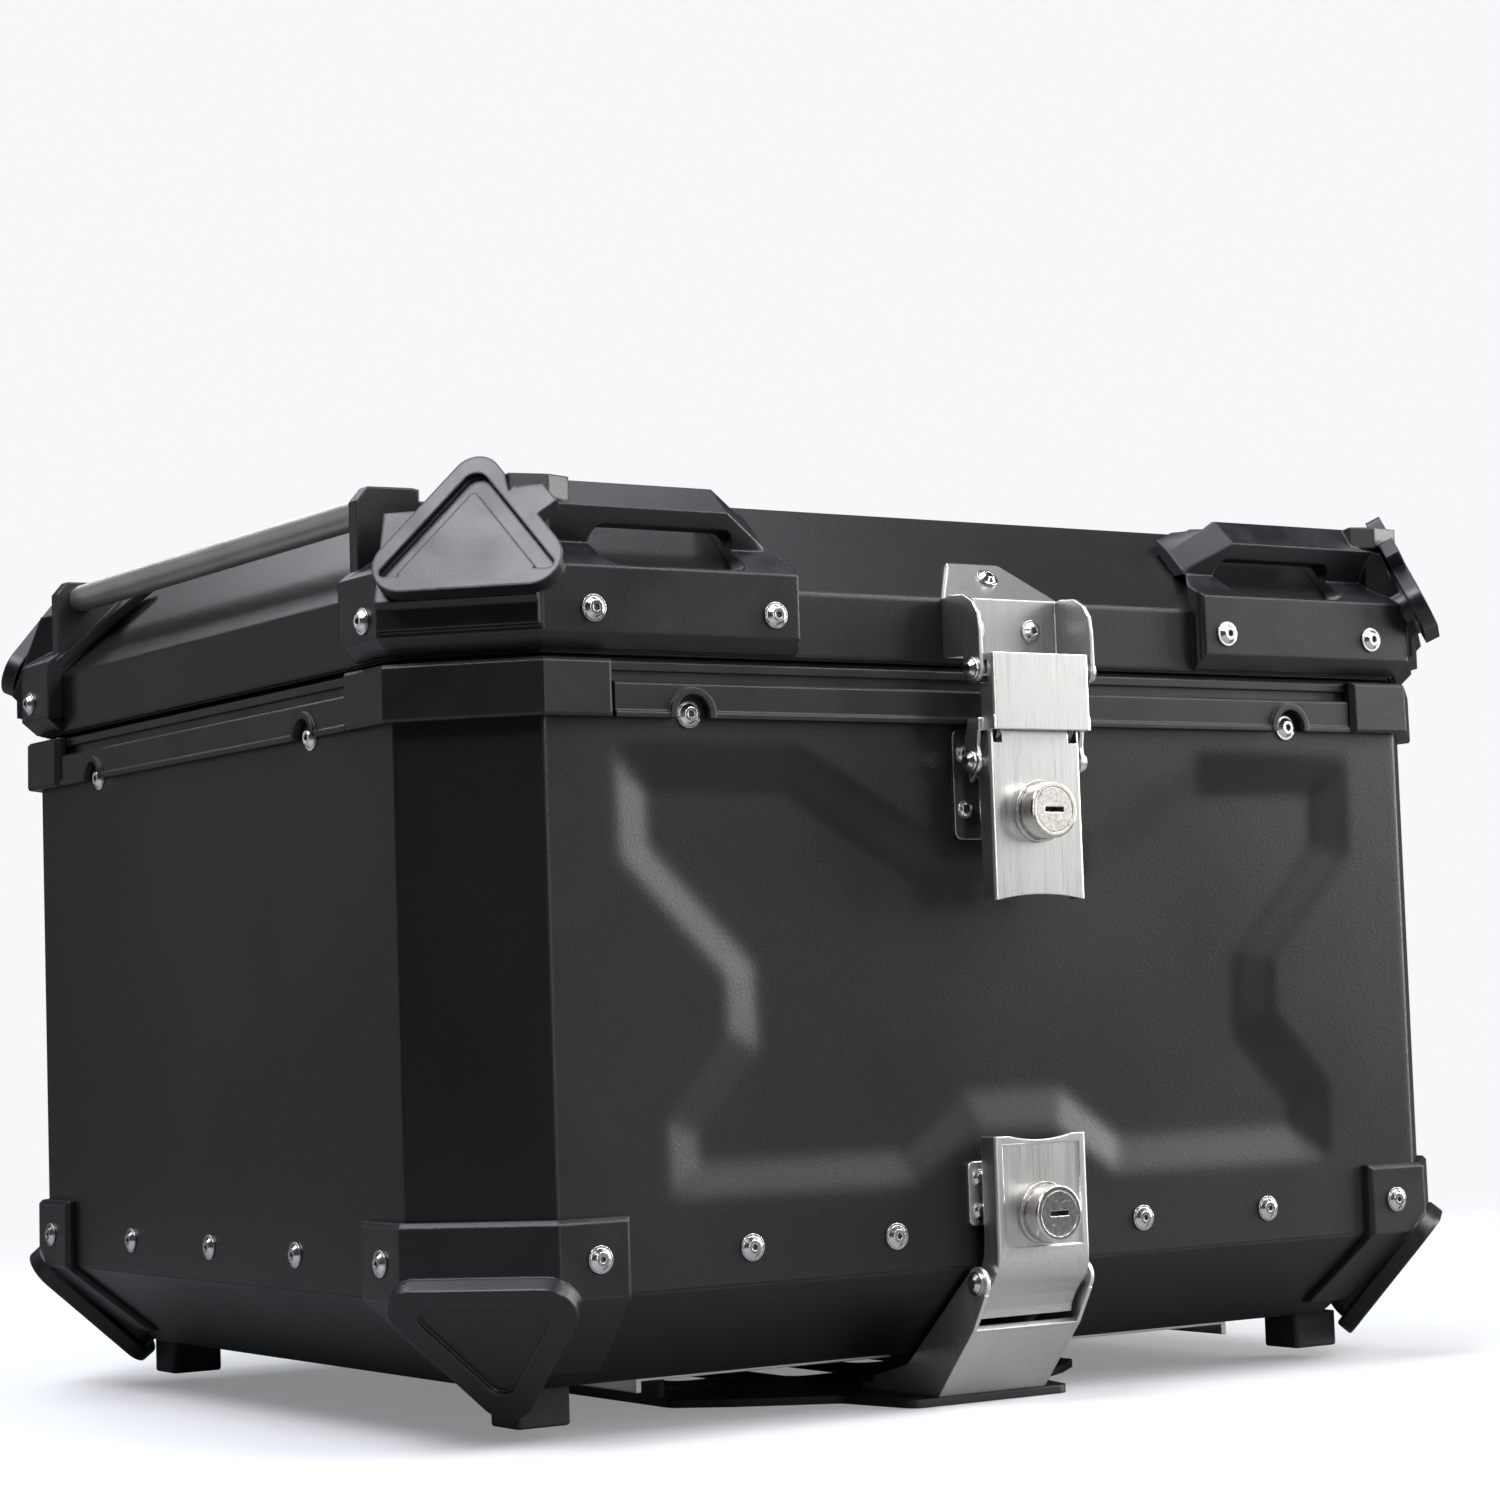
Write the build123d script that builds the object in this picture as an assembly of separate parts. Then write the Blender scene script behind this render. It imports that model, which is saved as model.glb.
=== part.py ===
# Motorcycle top case: an octagonal sheet-aluminium box with a hinged lid, moulded
# corner guards, an over-centre draw latch, and a quick-release base plate.
# Units are millimetres. +Z is up, -Y is the rear (latch) side, +X is the right
# side seen from behind. The origin is the centre of the base plate's underside.
from build123d import *
import math
import os

os.makedirs("parts", exist_ok=True)

# ---------------------------------------------------------------- driving sizes
W = 470.0            # body width
D = 400.0            # body depth
CH = 38.0            # leg of the 45 degree vertical corner chamfers
T = 2.0              # sheet thickness
Z_BOT = 18.5         # underside of the bottom pan
Z_CREASE = 52.5      # where the wall turns into the skirt
SKIRT_IN = 40.0      # how far the skirt runs inwards
Z_RIVET = 65.0       # rivet line
Z_WALL = 262.0       # top of the body walls
Z_RIM = 270.1        # top of the rim channel
Z_LID = 273.3        # low edge of the lid
Z_LCREASE = 297.0    # lid crease
Z_LTOP = 332.5       # lid top
LID_IN = 35.0        # inset of the lid's flat top
SLOPE = LID_IN / (Z_LTOP - Z_LCREASE)
SK = SKIRT_IN / (Z_CREASE - Z_BOT)
# lid hinge axis (front)
HY, HZ = 207.0, 269.5
# case tilt axis (front hooks of the base)
TY, TZ = 104.0, 8.8
# upper latch: fulcrum P, link pivot Q, catch pin A, as outward distance and height
PO, PZ = 14.6, 247.5
QO, QZ = 12.4, 236.0
AO, AZ = 17.5, 269.3
# lower latch pivot and the two lock axes
RO, RZ = 4.0, 46.0
LU_Z = 217.3
LL_Z = 70.5
# side rails
RAIL_R, RAIL_X, RAIL_Z = 5.5, 226.0, 329.5
# base plate mounting slots
SLOT_X, SLOT_Y, SLOT_W, SLOT_L = 120.0, 140.0, 6.5, 30.0


# --------------------------------------------------------------------- helpers
def octagon(off=0.0):
    """Corner points of the case outline, moved outwards by off."""
    hx, hy = W / 2 + off, D / 2 + off
    c = CH + (2 - math.sqrt(2)) * off
    return [(hx - c, -hy), (hx, -hy + c), (hx, hy - c), (hx - c, hy),
            (-hx + c, hy), (-hx, hy - c), (-hx, -hy + c), (-hx + c, -hy)]


def face_at(points, z):
    return make_face(Polyline(*[(x, y, z) for x, y in points], close=True))


def stack(levels):
    """Solid through octagonal sections; levels are (z, off)."""
    return loft([face_at(octagon(o), z) for z, o in levels], ruled=True)


def prism(points, z0, z1):
    return extrude(face_at(points, z0), amount=z1 - z0, dir=(0, 0, 1))


def boxr(x0, x1, y0, y1, z0, z1):
    return Pos((x0 + x1) / 2, (y0 + y1) / 2, (z0 + z1) / 2) * Box(abs(x1 - x0), abs(y1 - y0), abs(z1 - z0))


def rear(oz, x0, x1):
    """Profile of (outward, height) points on the rear face, run from x0 to x1."""
    f = make_face(Polyline(*[(x0, -(D / 2 + o), z) for o, z in oz], close=True))
    return extrude(f, amount=x1 - x0, dir=(1, 0, 0))


def front(oz, x0, x1):
    f = make_face(Polyline(*[(x0, D / 2 + o, z) for o, z in oz], close=True))
    return extrude(f, amount=x1 - x0, dir=(1, 0, 0))


def left(oz, y0, y1):
    """Profile of (outward, height) points on the left side, run from y0 to y1."""
    f = make_face(Polyline(*[(-(W / 2 + o), y0, z) for o, z in oz], close=True))
    return extrude(f, amount=y1 - y0, dir=(0, 1, 0))


def cyl_x(r, x0, x1, y, z):
    return Pos((x0 + x1) / 2, y, z) * Rot(0, 90, 0) * Cylinder(r, abs(x1 - x0))


def cyl_y(r, y0, y1, x, z):
    return Pos(x, (y0 + y1) / 2, z) * Rot(90, 0, 0) * Cylinder(r, abs(y1 - y0))


def cyl_z(r, z0, z1, x, y):
    return Pos(x, y, (z0 + z1) / 2) * Cylinder(r, abs(z1 - z0))


def mx(s):
    return mirror(s, about=Plane.YZ)


def my(s):
    return mirror(s, about=Plane.XZ)


def soft(s, r, pick=None):
    """Round the edges of a moulding; the plain shape stays where a blend can't be made."""
    try:
        e = s.edges() if pick is None else pick(s)
        out = fillet(e, r)
        if out.is_valid and out.volume > 0:
            return out
    except Exception:
        pass
    return s


def solids(s):
    if isinstance(s, (list, tuple)):
        out = []
        for q in s:
            out += solids(q)
        return out
    return list(s.solids())


def save(name, s):
    items = solids(s)
    shape = items[0] if len(items) == 1 else Compound(children=items)
    shape.label = name
    export_step(shape, f"parts/{name}.step")


def push(plane, sketch, v, start, amount):
    """Extrude a sketch that lies in a plane: shifted by v in the plane, starting at
    height start and running by amount along the plane's normal."""
    f = plane.location * Pos(0, v, start) * sketch
    return extrude(f, amount=amount, dir=(plane.z_dir.X, plane.z_dir.Y, plane.z_dir.Z))


# local frame on the rear-left corner: t along the chamfer, n outwards, z up
CX, CY = -(W / 2 - CH / 2), -(D / 2 - CH / 2)
NX, NY = -1 / math.sqrt(2), -1 / math.sqrt(2)
TX, TYY = 1 / math.sqrt(2), -1 / math.sqrt(2)


def diag(nz, t0, t1):
    """Profile of (outward, height) on the corner chamfer, run along it from t0 to t1."""
    f = make_face(Polyline(*[(CX + NX * n + TX * t0, CY + NY * n + TYY * t0, z) for n, z in nz], close=True))
    return extrude(f, amount=t1 - t0, dir=(TX, TYY, 0))


# ------------------------------------------------------------- fastener shapes
def place(s, direction, at):
    """Turn a part built along +Z so that it points along direction, and move it."""
    pl = Plane(origin=at, z_dir=direction)
    return pl.location * s


def rivet_solid(grip):
    """Blind rivet: flange, low dome with a mandrel hole, shank through the sheets."""
    head = Cylinder(4.75, 0.7, align=(Align.CENTER, Align.CENTER, Align.MIN))
    dome = Pos(0, 0, 0.7) * Cone(3.9, 2.5, 1.3, align=(Align.CENTER, Align.CENTER, Align.MIN))
    shank = Pos(0, 0, -grip) * Cylinder(2.0, grip, align=(Align.CENTER, Align.CENTER, Align.MIN))
    hole = Pos(0, 0, 0.8) * Cylinder(1.1, 3, align=(Align.CENTER, Align.CENTER, Align.MIN))
    return (head + dome + shank) - hole


def screw_solid(grip, r_head=4.75):
    """Flanged button-head screw with a hexagon socket, shank going inwards."""
    head = Cylinder(r_head, 0.8, align=(Align.CENTER, Align.CENTER, Align.MIN))
    dome = Pos(0, 0, 0.8) * Cone(r_head - 0.9, r_head - 2.2, 1.7, align=(Align.CENTER, Align.CENTER, Align.MIN))
    shank = Pos(0, 0, -grip) * Cylinder(2.0, grip, align=(Align.CENTER, Align.CENTER, Align.MIN))
    sock = Pos(0, 0, 1.0) * extrude(RegularPolygon(1.45, 6), amount=3)
    return (head + dome + shank) - sock


def nut_solid(r=4.0, h=3.2, bore=2.0):
    return extrude(RegularPolygon(r, 6), amount=h) - Pos(0, 0, h / 2) * Cylinder(bore, h + 1)


def hole(direction, at, r=2.0, depth=30.0, out=4.0):
    return place(Pos(0, 0, (out - depth) / 2) * Cylinder(r, depth + out), direction, at)


SIDE_DIRS = {"rear": (0, -1, 0), "front": (0, 1, 0), "left": (-1, 0, 0), "right": (1, 0, 0)}


def at_side(side, s, off, z):
    """Point on a side: s along the wall, off outwards."""
    return {"rear": (s, -(D / 2 + off), z), "front": (s, D / 2 + off, z),
            "left": (-(W / 2 + off), s, z), "right": (W / 2 + off, s, z)}[side]


def fasten(make, spots):
    return [place(make, SIDE_DIRS[sd], at_side(sd, s, off, z)) for sd, s, off, z in spots]


def bores(spots, r=2.0, depth=30.0, out=4.0):
    tools = [hole(SIDE_DIRS[sd], at_side(sd, s, off, z), r, depth, out) for sd, s, off, z in spots]
    return Compound(children=solids(tools))


# ------------------------------------------------------------ debossed rear face
PATTERN_OUT = [(-170, 241), (-93, 241), (-36.5, 209), (36.5, 209), (93, 241), (170, 241),
               (169, 202), (127, 160), (127, 140), (153, 111.5), (152, 82.5), (45.6, 82.2), (17, 101),
               (-17, 101), (-45.6, 82.2), (-152, 82.5), (-153, 111.5), (-127, 140), (-127, 160), (-169, 202)]
PATTERN_IN = [(-154, 226.5), (-96, 226.5), (-40, 194.5), (40, 194.5), (96, 226.5), (154, 226.5),
              (153.5, 206), (111, 164), (110, 132), (136.6, 105.8), (136.5, 96), (51, 95.5), (22.6, 115.5),
              (-22.6, 115.5), (-51, 95.5), (-136.5, 96), (-136.6, 105.8), (-110, 132), (-111, 164), (-153.5, 206)]
DEBOSS = 4.2


def pattern_tool(o_face, o_floor):
    """Solid between the rear face and the pressed floor of the pattern."""
    a = make_face(Polyline(*[(x, -(D / 2 + o_face), z) for x, z in PATTERN_OUT], close=True))
    b = make_face(Polyline(*[(x, -(D / 2 + o_floor), z) for x, z in PATTERN_IN], close=True))
    return loft([a, b], ruled=True)


# ------------------------------------------------------------------ fastener map
BODY_RIVETS = [("rear", x, 0, Z_RIVET) for x in (-119, -57, 57, 119)] + \
              [("front", x, 0, Z_RIVET) for x in (-119, -57, 57, 119)] + \
              [(s, y, 0, Z_RIVET) for s in ("left", "right") for y in (-75, 0, 75)]
GUARD_RIVETS = [(s, x, 3.84, Z_RIVET) for s in ("rear", "front") for x in (-183, 183)] + \
               [(s, y, 3.84, Z_RIVET) for s in ("left", "right") for y in (-150, 150)]
RIM_SCREWS = [(s, x, 0, 252.0) for s in ("rear", "front") for x in (-138.6, 138.6)] + \
             [(s, y, 0, 251.0) for s in ("left", "right") for y in (-98, 98)]
LID_SCREWS = [(s, x, 7.0, 287.5) for s in ("rear", "front") for x in (-180, -105, 105, 180)] + \
             [(s, y, 7.0, 286.5) for s in ("left", "right") for y in (-155, 155)]
KEEP_U = [("rear", x, 1.5, 219.0) for x in (-20.6, 20.6)] + [("rear", x, 1.5, 239.5) for x in (-20.6, 20.6)]
KEEP_L = [("rear", x, 1.5, 72.0) for x in (-20.6, 20.6)] + [("rear", x, 1.5, 84.0) for x in (-20.6, 20.6)]
LID_BR = [("rear", x, 1.8, 286.0) for x in (-13, 13)]
HX = [-75, -45, -15, 15, 45, 75]
HINGE_LOW = [("front", x, 1.4, 252.0) for x in HX]
HINGE_UP = [("front", x, 1.4, 285.0) for x in HX]

# ------------------------------------------------------------------- body shell
outer = stack([(Z_CREASE, 0), (Z_WALL, 0)])
inner = stack([(Z_CREASE - 1, -T), (Z_WALL + 1, -T)])
shell = outer - pattern_tool(0.5, -DEBOSS) - (inner - pattern_tool(-T + 0.0, -DEBOSS - T))
drill = BODY_RIVETS + GUARD_RIVETS + RIM_SCREWS
body_shell = shell - bores(drill, 2.0, 20, 8) - bores(KEEP_U + KEEP_L, 1.6, 20, 8) - bores(HINGE_LOW, 1.6, 20, 8)

# ------------------------------------------------------------------- bottom pan
pan_out = stack([(Z_BOT, -SKIRT_IN), (Z_CREASE - 0.1, -0.12)]) + stack([(Z_CREASE - 0.2, -T - 0.05), (78, -T - 0.05)])
pan_in = stack([(20.5, -40.28), (Z_CREASE - 0.8, -3.6), (79, -3.6)])
bottom_pan = pan_out - pan_in - bores(BODY_RIVETS + GUARD_RIVETS, 2.0, 20, 8) - bores(KEEP_L[:2], 3.2, 20, 8)
# dock plate screws go down through the pan
DOCK_SCREWS = [(x, y) for x in (-95, 95) for y in (-105, 95)]
FEET = [(sx * 180, sy * 147) for sx in (-1, 1) for sy in (-1, 1)]
for x, y in DOCK_SCREWS:
    bottom_pan -= cyl_z(2.6, 10, 30, x, y)
for x, y in FEET:
    bottom_pan -= cyl_z(2.0, 10, 30, x, y)

# ---------------------------------------------------------------- body fittings
rivet_len = 5.4
body_rivets = fasten(rivet_solid(rivet_len), BODY_RIVETS)
lower_guard_rivets = fasten(rivet_solid(9.0), GUARD_RIVETS)

# rim channel: black plastic frame on top of the walls
rim = stack([(Z_WALL + 0.05, -1.5), (266.9, -1.5), (267.0, 0), (Z_RIM, 0)]) - stack([(Z_WALL - 1, -12), (272, -12)])
rim += stack([(244.0, -T - 0.05), (268.0, -T - 0.05)]) - stack([(243, -4.6), (272, -4.6)])
rim -= stack([(267.6, -4.0), (271, -4.0)]) - stack([(267.0, -9.0), (272, -9.0)])
rim_channel = rim - bores(RIM_SCREWS, 2.0, 20, 8) - bores(HINGE_LOW, 3.2, 20, -1.0)

seal_lo = stack([(267.6, -4.15), (271.0, -4.15), (272.4, -5.2)]) - stack([(267, -8.85), (271.0, -8.85), (272.4, -7.8), (273, -7.4)])
seal = seal_lo


def strip(side, half, screw_s, z_s):
    """Outside rim strip of one wall with arched notches round its screws."""
    oz = [(0.05, 250.5), (3.9, 250.5), (3.9, 252.2), (3.0, 253.0), (3.0, 262.2), (2.2, 263.0), (0.05, 263.0)]
    dirv = SIDE_DIRS[side]
    if side in ("rear", "front"):
        s = (rear if side == "rear" else front)(oz, -half, half)
    else:
        s = left(oz, -half, half)
        if side == "right":
            s = mx(s)
    for k in screw_s:
        p0 = at_side(side, k, 0.05, z_s)
        ring = place(Cylinder(9.3, 4.3, align=(Align.CENTER, Align.CENTER, Align.MIN)), dirv, p0)
        below = boxr(-400, 400, -400, 400, 200, 250.5)
        s = s + (ring - below)
        cut = place(Cylinder(6.9, 12, align=(Align.CENTER, Align.CENTER, Align.CENTER)), dirv, p0)
        s = s - cut
    return s


strip_rear = strip("rear", 170.0, (-138.6, 138.6), 252.0)
strip_front = strip("front", 170.0, (-138.6, 138.6), 252.0) - boxr(-92, 92, 190, 210, 245, 264.5)
strip_left = strip("left", 132.0, (-98, 98), 251.0)
strip_right = strip("right", 132.0, (-98, 98), 251.0)
rim_screws = fasten(screw_solid(5.0), RIM_SCREWS)


def corner_plan(xr, ys, slant):
    """Plan region of a rear-left corner piece: its rear end at |x| = xr and its side
    end at |y| = ys, both ends slanted by slant over 12 mm of depth."""
    return [(-xr - slant, -260), (-xr, -(D / 2)), (-xr, -120), (-175, -ys), (-(W / 2), -ys), (-300, -ys - slant * 4), (-300, -260)]


def corner_cap(levels, inner_off, plan, z0, z1):
    return (stack(levels) - stack([(z0 - 2, inner_off), (z1 + 2, inner_off)])) & prism(plan, z0 - 1, z1 + 1)


rc = corner_cap([(250.5, 4.6), (251.5, 5.2), (269.3, 5.0), (270.5, 4.0)], 0.12,
                [(-173.5, -206), (-171.0, -203), (-171.0, -120), (-150, -133), (-238, -133), (-241, -135.5), (-300, -136), (-300, -260), (-173.5, -260)],
                250.5, 270.5)
rc -= stack([(Z_RIM - 4, -3), (Z_RIM + 3, -3)]) - stack([(200, 20), (300, 20)])
rim_corner_rl = soft(rc, 0.5, lambda s: s.edges().filter_by(Axis.Z))
rim_corner_rr = mx(rim_corner_rl)
rim_corner_fl = my(rim_corner_rl)
rim_corner_fr = mx(rim_corner_fl)

# ---------------------------------------------------------------- lower guards
def skirt_off(z, extra=0.0):
    return -(Z_CREASE - z) * SK + extra


lg_out = stack([(24, skirt_off(24, 4.2)), (Z_CREASE - 0.6, 3.9), (77.4, 3.7), (79.0, 2.3)])
lg_in = stack([(20, skirt_off(20, 0.18)), (Z_CREASE, 0.15), (82, 0.15)])
lg_plan = [(-171.5, -260), (-171.5, -203.9), (-170, -202.4), (-170, -199), (-164, -165), (-150, -128), (-196, -126), (-234, -134), (-237.4, -134), (-239, -135.5), (-300, -135.5), (-300, -260)]
lg = lg_out & prism(lg_plan, 24, 82)


def tri_points(w, h, down=False):
    """Triangle in its own plane, base w and height h, apex up unless down."""
    s = -1 if down else 1
    return [(-w / 2, 0), (w / 2, 0), (0, s * h)]


def rounded_tri(w, h, r_base, r_apex, down=False):
    f = Polygon(*tri_points(w, h, down), align=None)
    vs = f.vertices()
    apex = [v for v in vs if abs(v.Y) > 1]
    base = [v for v in vs if abs(v.Y) < 1]
    f = fillet(base, r_base)
    apex = sorted(f.vertices(), key=lambda v: abs(v.X) - abs(v.Y))[0]
    return fillet(apex, r_apex)


# bumper: inverted rounded triangle, top edge at height 56, tip under the skirt
LB_TOP, LB_TIP = (9.8, 56.0), (-28.5, 9.5)
ax = math.hypot(LB_TOP[0] - LB_TIP[0], LB_TOP[1] - LB_TIP[1])
dn = (LB_TIP[0] - LB_TOP[0]) / ax
dz = (LB_TIP[1] - LB_TOP[1]) / ax
lb_norm_n, lb_norm_z = -dz, dn
lb_plane = Plane(origin=(CX + NX * LB_TOP[0], CY + NY * LB_TOP[0], LB_TOP[1]),
                 x_dir=(TX, TYY, 0), z_dir=(NX * lb_norm_n, NY * lb_norm_n, lb_norm_z))
s_down = 1 if (lb_plane.y_dir.Z < 0) else -1
LB_W, LB_H = 84.0, 71.0
tri = rounded_tri(LB_W, LB_H, 11.0, 10.0, down=(s_down < 0))
bump = push(lb_plane, tri, 0, 0, -7.0)
bump = soft(bump, 1.0)
tri_core = rounded_tri(LB_W - 9, LB_H - 8, 9.0, 8.0, down=(s_down < 0))
core = push(lb_plane, tri_core, 2.5 * s_down, 0, -24.0)
tri_pock = rounded_tri(LB_W - 30, LB_H - 26, 5.0, 5.0, down=(s_down < 0))
pock = push(lb_plane, tri_pock, 8.5 * s_down, -1.6, 5)
body_block = stack([(Z_BOT - 0.2, skirt_off(Z_BOT - 0.2, 0.18)), (Z_CREASE, 0.15), (100, 0.15)])
foot_clear = boxr(-193, -150, -159, -120, 0, Z_BOT + 3)
lower = ((lg + core) + bump) - body_block - pock
lower = lower - foot_clear
lower = max(solids(lower), key=lambda q: q.volume)
lower_rl = lower - bores([("rear", -183, 3.7, Z_RIVET), ("left", -150, 3.7, Z_RIVET)], 2.0, 20, 8)
lower_guard_rl = lower_rl
lower_guard_rr = mx(lower_rl)
lower_guard_fl = my(lower_rl)
lower_guard_fr = mx(lower_guard_fl)

# rubber feet with their screws
feet, feet_screws = [], []
for x, y in FEET:
    f = Pos(x, y, 4.5) * Box(22, 20, 13.9, align=(Align.CENTER, Align.CENTER, Align.MIN))
    f = soft(f, 2.0, lambda s: s.edges().filter_by(Axis.Z))
    f = soft(f, 1.2, lambda s: s.faces().sort_by(Axis.Z)[0].edges())
    f -= cyl_z(4.9, 3, 8.5, x, y) + cyl_z(2.0, 3, 20, x, y)
    feet.append(f)
    feet_screws.append(Pos(x, y, 8.5) * (mirror(screw_solid(13.5, 4.2), about=Plane.XY)))
    feet_screws.append(Pos(x, y, 20.55) * (nut_solid(3.6, 3.0)))

# ------------------------------------------------------------------------- lid
lid_out = stack([(Z_LID, 0), (Z_LCREASE, 0), (Z_LTOP, -LID_IN)])
lid_in = stack([(Z_LID - 1, -T), (Z_LCREASE - 0.8, -T), (Z_LTOP - T, -LID_IN - 0.9)])
# pressed stiffening panel in the middle of the lid top
panel = Pos(0, 0, Z_LTOP - 2.2) * extrude(RectangleRounded(250, 190, 22), amount=2.2, taper=-35)
panel_in = Pos(0, 0, Z_LTOP - T - 2.2) * extrude(RectangleRounded(250, 190, 22), amount=2.2, taper=-35)
lid_shell = (lid_out - panel) - (lid_in - panel_in)
lid_bores = bores(LID_SCREWS, 2.0, 24, 8) + bores(LID_BR, 2.0, 20, 8) + bores(HINGE_UP, 1.6, 20, 8)
TOP_SCREW = (0.0, -(D / 2 - 8.0), Z_LCREASE + 8.0 / SLOPE)
sl = math.hypot(SLOPE, 1.0)
SN = (0, -1 / math.hypot(1, SLOPE), SLOPE / math.hypot(1, SLOPE))   # outward normal of the rear slope
tsx, tsy, tsz = TOP_SCREW
lid_shell = lid_shell - lid_bores - hole(SN, (tsx, tsy, tsz), 2.0, 14, 6)

lid_rim = stack([(272.7, -T - 0.1), (275.5, -T - 0.1)]) - stack([(271, -10.0), (277, -10.0)])
lid_rim += stack([(275.0, -T - 0.1), (294.0, -T - 0.1)]) - stack([(274, -4.6), (296, -4.6)])
lid_rim = lid_rim - bores(LID_SCREWS, 2.0, 24, 8) - bores(LID_BR, 2.0, 20, 8) - bores(HINGE_UP, 3.2, 20, -1.0)

# lid guard, rear-left
lg_levels = [(273.8, 1.4), (279.4, 7.0), (302.3, 7.0), (312.5, -9.0), (333.0, -29.0), (335.0, -31.5)]
lid_clear = stack([(250, 0.12), (Z_LCREASE + 0.05, 0.12), (Z_LTOP + 0.12, -LID_IN + 0.05)])
cap_plan = [(-94.6, -260), (-94.6, -205.4), (-93.0, -203.6), (-93.0, -199), (-112, -174), (-150, -160), (-180, -148), (-197, -137.5), (-300, -137.5), (-300, -260)]
cap = (stack(lg_levels) - lid_clear) & prism(cap_plan, 270, 345)
# carrying beam over the hand slot
beam_a = [(-9.0, 312.5), (-1.6, 324.6), (-12.5, 334.8), (-31.0, 335.6), (-33.0, 332.7), (-14.8, 312.4)]
beam_b = [(-9.0, 312.5), (-9.6, 314.2), (-17.5, 322.5), (-24.0, 328.0), (-24.5, 323.0), (-14.8, 312.4)]


def rear_face(oz, x):
    return make_face(Polyline(*[(x, -(D / 2 + o), z) for o, z in oz], close=True))


beam = loft([rear_face(beam_a, -204), rear_face(beam_a, -118)], ruled=True) + \
    loft([rear_face(beam_a, -118), rear_face(beam_b, -98)], ruled=True)
# end wall carrying the side rail, with the gusset on the lid slope
wall = left([(7.0, 279.4), (7.0, 302.3), (2.0, 306.0), (2.0, 331.0), (-2.5, 336.3), (-20.0, 336.6), (-27.0, 335.6), (-34.0, 333.6), (-34.0, 330.0), (0.0, 296.0), (0.0, 279.4)], -142.0, -136.0)
wall -= left([(-60, 250), (0.12, 250), (0.12, 297.05), (-34.95, 332.62), (-60, 332.62)], -150, -120)
gus_o = [(0.0, 299.5), (-4.0, 303.0), (-31.0, 329.0)]
g1 = Polyline((-(W / 2 + 0.6), -136.5, 299.6), (-(W / 2 - 30.5), -136.5, 330.6), (-(W / 2 - 30.5), -110.0, 330.6), close=True)
gn = Vector(-1, 0, SLOPE).normalized()
gusset = extrude(make_face(g1), amount=2.2, dir=(gn.X, 0, gn.Z))
gusset += extrude(make_face(Polyline((-(W / 2 + 0.6), -136.5, 299.6), (-(W / 2 - 30.5), -110.0, 330.6),
                                     (-(W / 2 - 30.5), -112.4, 330.6), (-(W / 2 + 0.6), -138.9, 299.6), close=True)), amount=3.8, dir=(gn.X, 0, gn.Z))
# corner block and shield
block = diag([(0, 279.4), (9.6, 281.6), (9.6, 289.0), (11.6, 291.0), (-2.0, 324), (-20, 327), (-20, 300), (0.0, 295)], -29, 29)
SH_TOP, SH_BOT = (-1.2, 339.2), (19.6, 293.6)
sx_ = math.hypot(SH_TOP[0] - SH_BOT[0], SH_TOP[1] - SH_BOT[1])
un, uz = (SH_TOP[0] - SH_BOT[0]) / sx_, (SH_TOP[1] - SH_BOT[1]) / sx_
SH_T = 5.5           # the shield sits a little towards the rear face
sh_plane = Plane(origin=(CX + NX * SH_BOT[0] + TX * SH_T, CY + NY * SH_BOT[0] + TYY * SH_T, SH_BOT[1]), x_dir=(TX, TYY, 0),
                 z_dir=(NX * uz, NY * uz, -un))
sgn = 1 if sh_plane.y_dir.Z > 0 else -1
SH_W, SH_H = 90.0, 59.0
tri_s = rounded_tri(SH_W, SH_H, 11.0, 9.0, down=(sgn < 0))
ear_s = Polygon(*[(a, b * sgn) for a, b in [(6, 39.5), (24.5, 40.0), (30.0, 33.0), (22.5, 27.0), (8, 28.0)]], align=None)
slab = push(sh_plane, tri_s + ear_s, 0, 0, -6.0)
tri_c = rounded_tri(SH_W - 22, SH_H - 14, 8.0, 7.0, down=(sgn < 0))
core_s = push(sh_plane, tri_c, 4.5 * sgn, 0, -40.0)
g_out = rounded_tri(SH_W - 24, SH_H - 15.7, 2.0, 5.0, down=(sgn < 0))
g_in = rounded_tri(SH_W - 24 - 15.6, SH_H - 15.7 - 10.2, 0.8, 1.6, down=(sgn < 0))
vgro = push(sh_plane, g_out, 6.2 * sgn, -3.0, 8) - push(sh_plane, g_in, 6.2 * sgn, -4.0, 10)
pocket_box = boxr(-172, -113, -214, -150, 303.2, 319.0)
pocket_box = soft(pocket_box, 5.0, lambda s: s.edges().filter_by(Axis.Y))
slot_top = boxr(-172, -113, -186, -150, 303.2, 345)
tab = prism([(-206, -196.5), (-192, -199.5), (-182, -196), (-186, -186), (-204, -184)], 326.0, 334.5)
guard = cap + beam + tab
guard = guard - pocket_box - slot_top
guard = guard + wall + gusset + (block & prism([(-300, -260), (-190, -260), (-190, -170), (-205, -155), (-300, -155)], 270, 345)) + (core_s - diag([(-80, 200), (-30, 200), (-30, 400), (-80, 400)], -80, 80))
guard = guard - lid_clear - boxr(-212, -60, -178, -100, 332.0, 345) 
guard = guard + slab - vgro
guard = guard - lid_clear
guard = guard - cyl_y(RAIL_R + 0.05, -139.6, -120, -RAIL_X, RAIL_Z)
guard = guard - bores([("rear", x, 7.0, 287.5) for x in (-180, -105)] + [("left", -155, 7.0, 286.5)], 2.0, 24, 8)
guard = max(solids(guard), key=lambda q: q.volume)
lid_guard_rl = guard
lid_guard_rr = mx(guard)
lid_guard_fl = my(guard)
lid_guard_fr = mx(lid_guard_fl)

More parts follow.
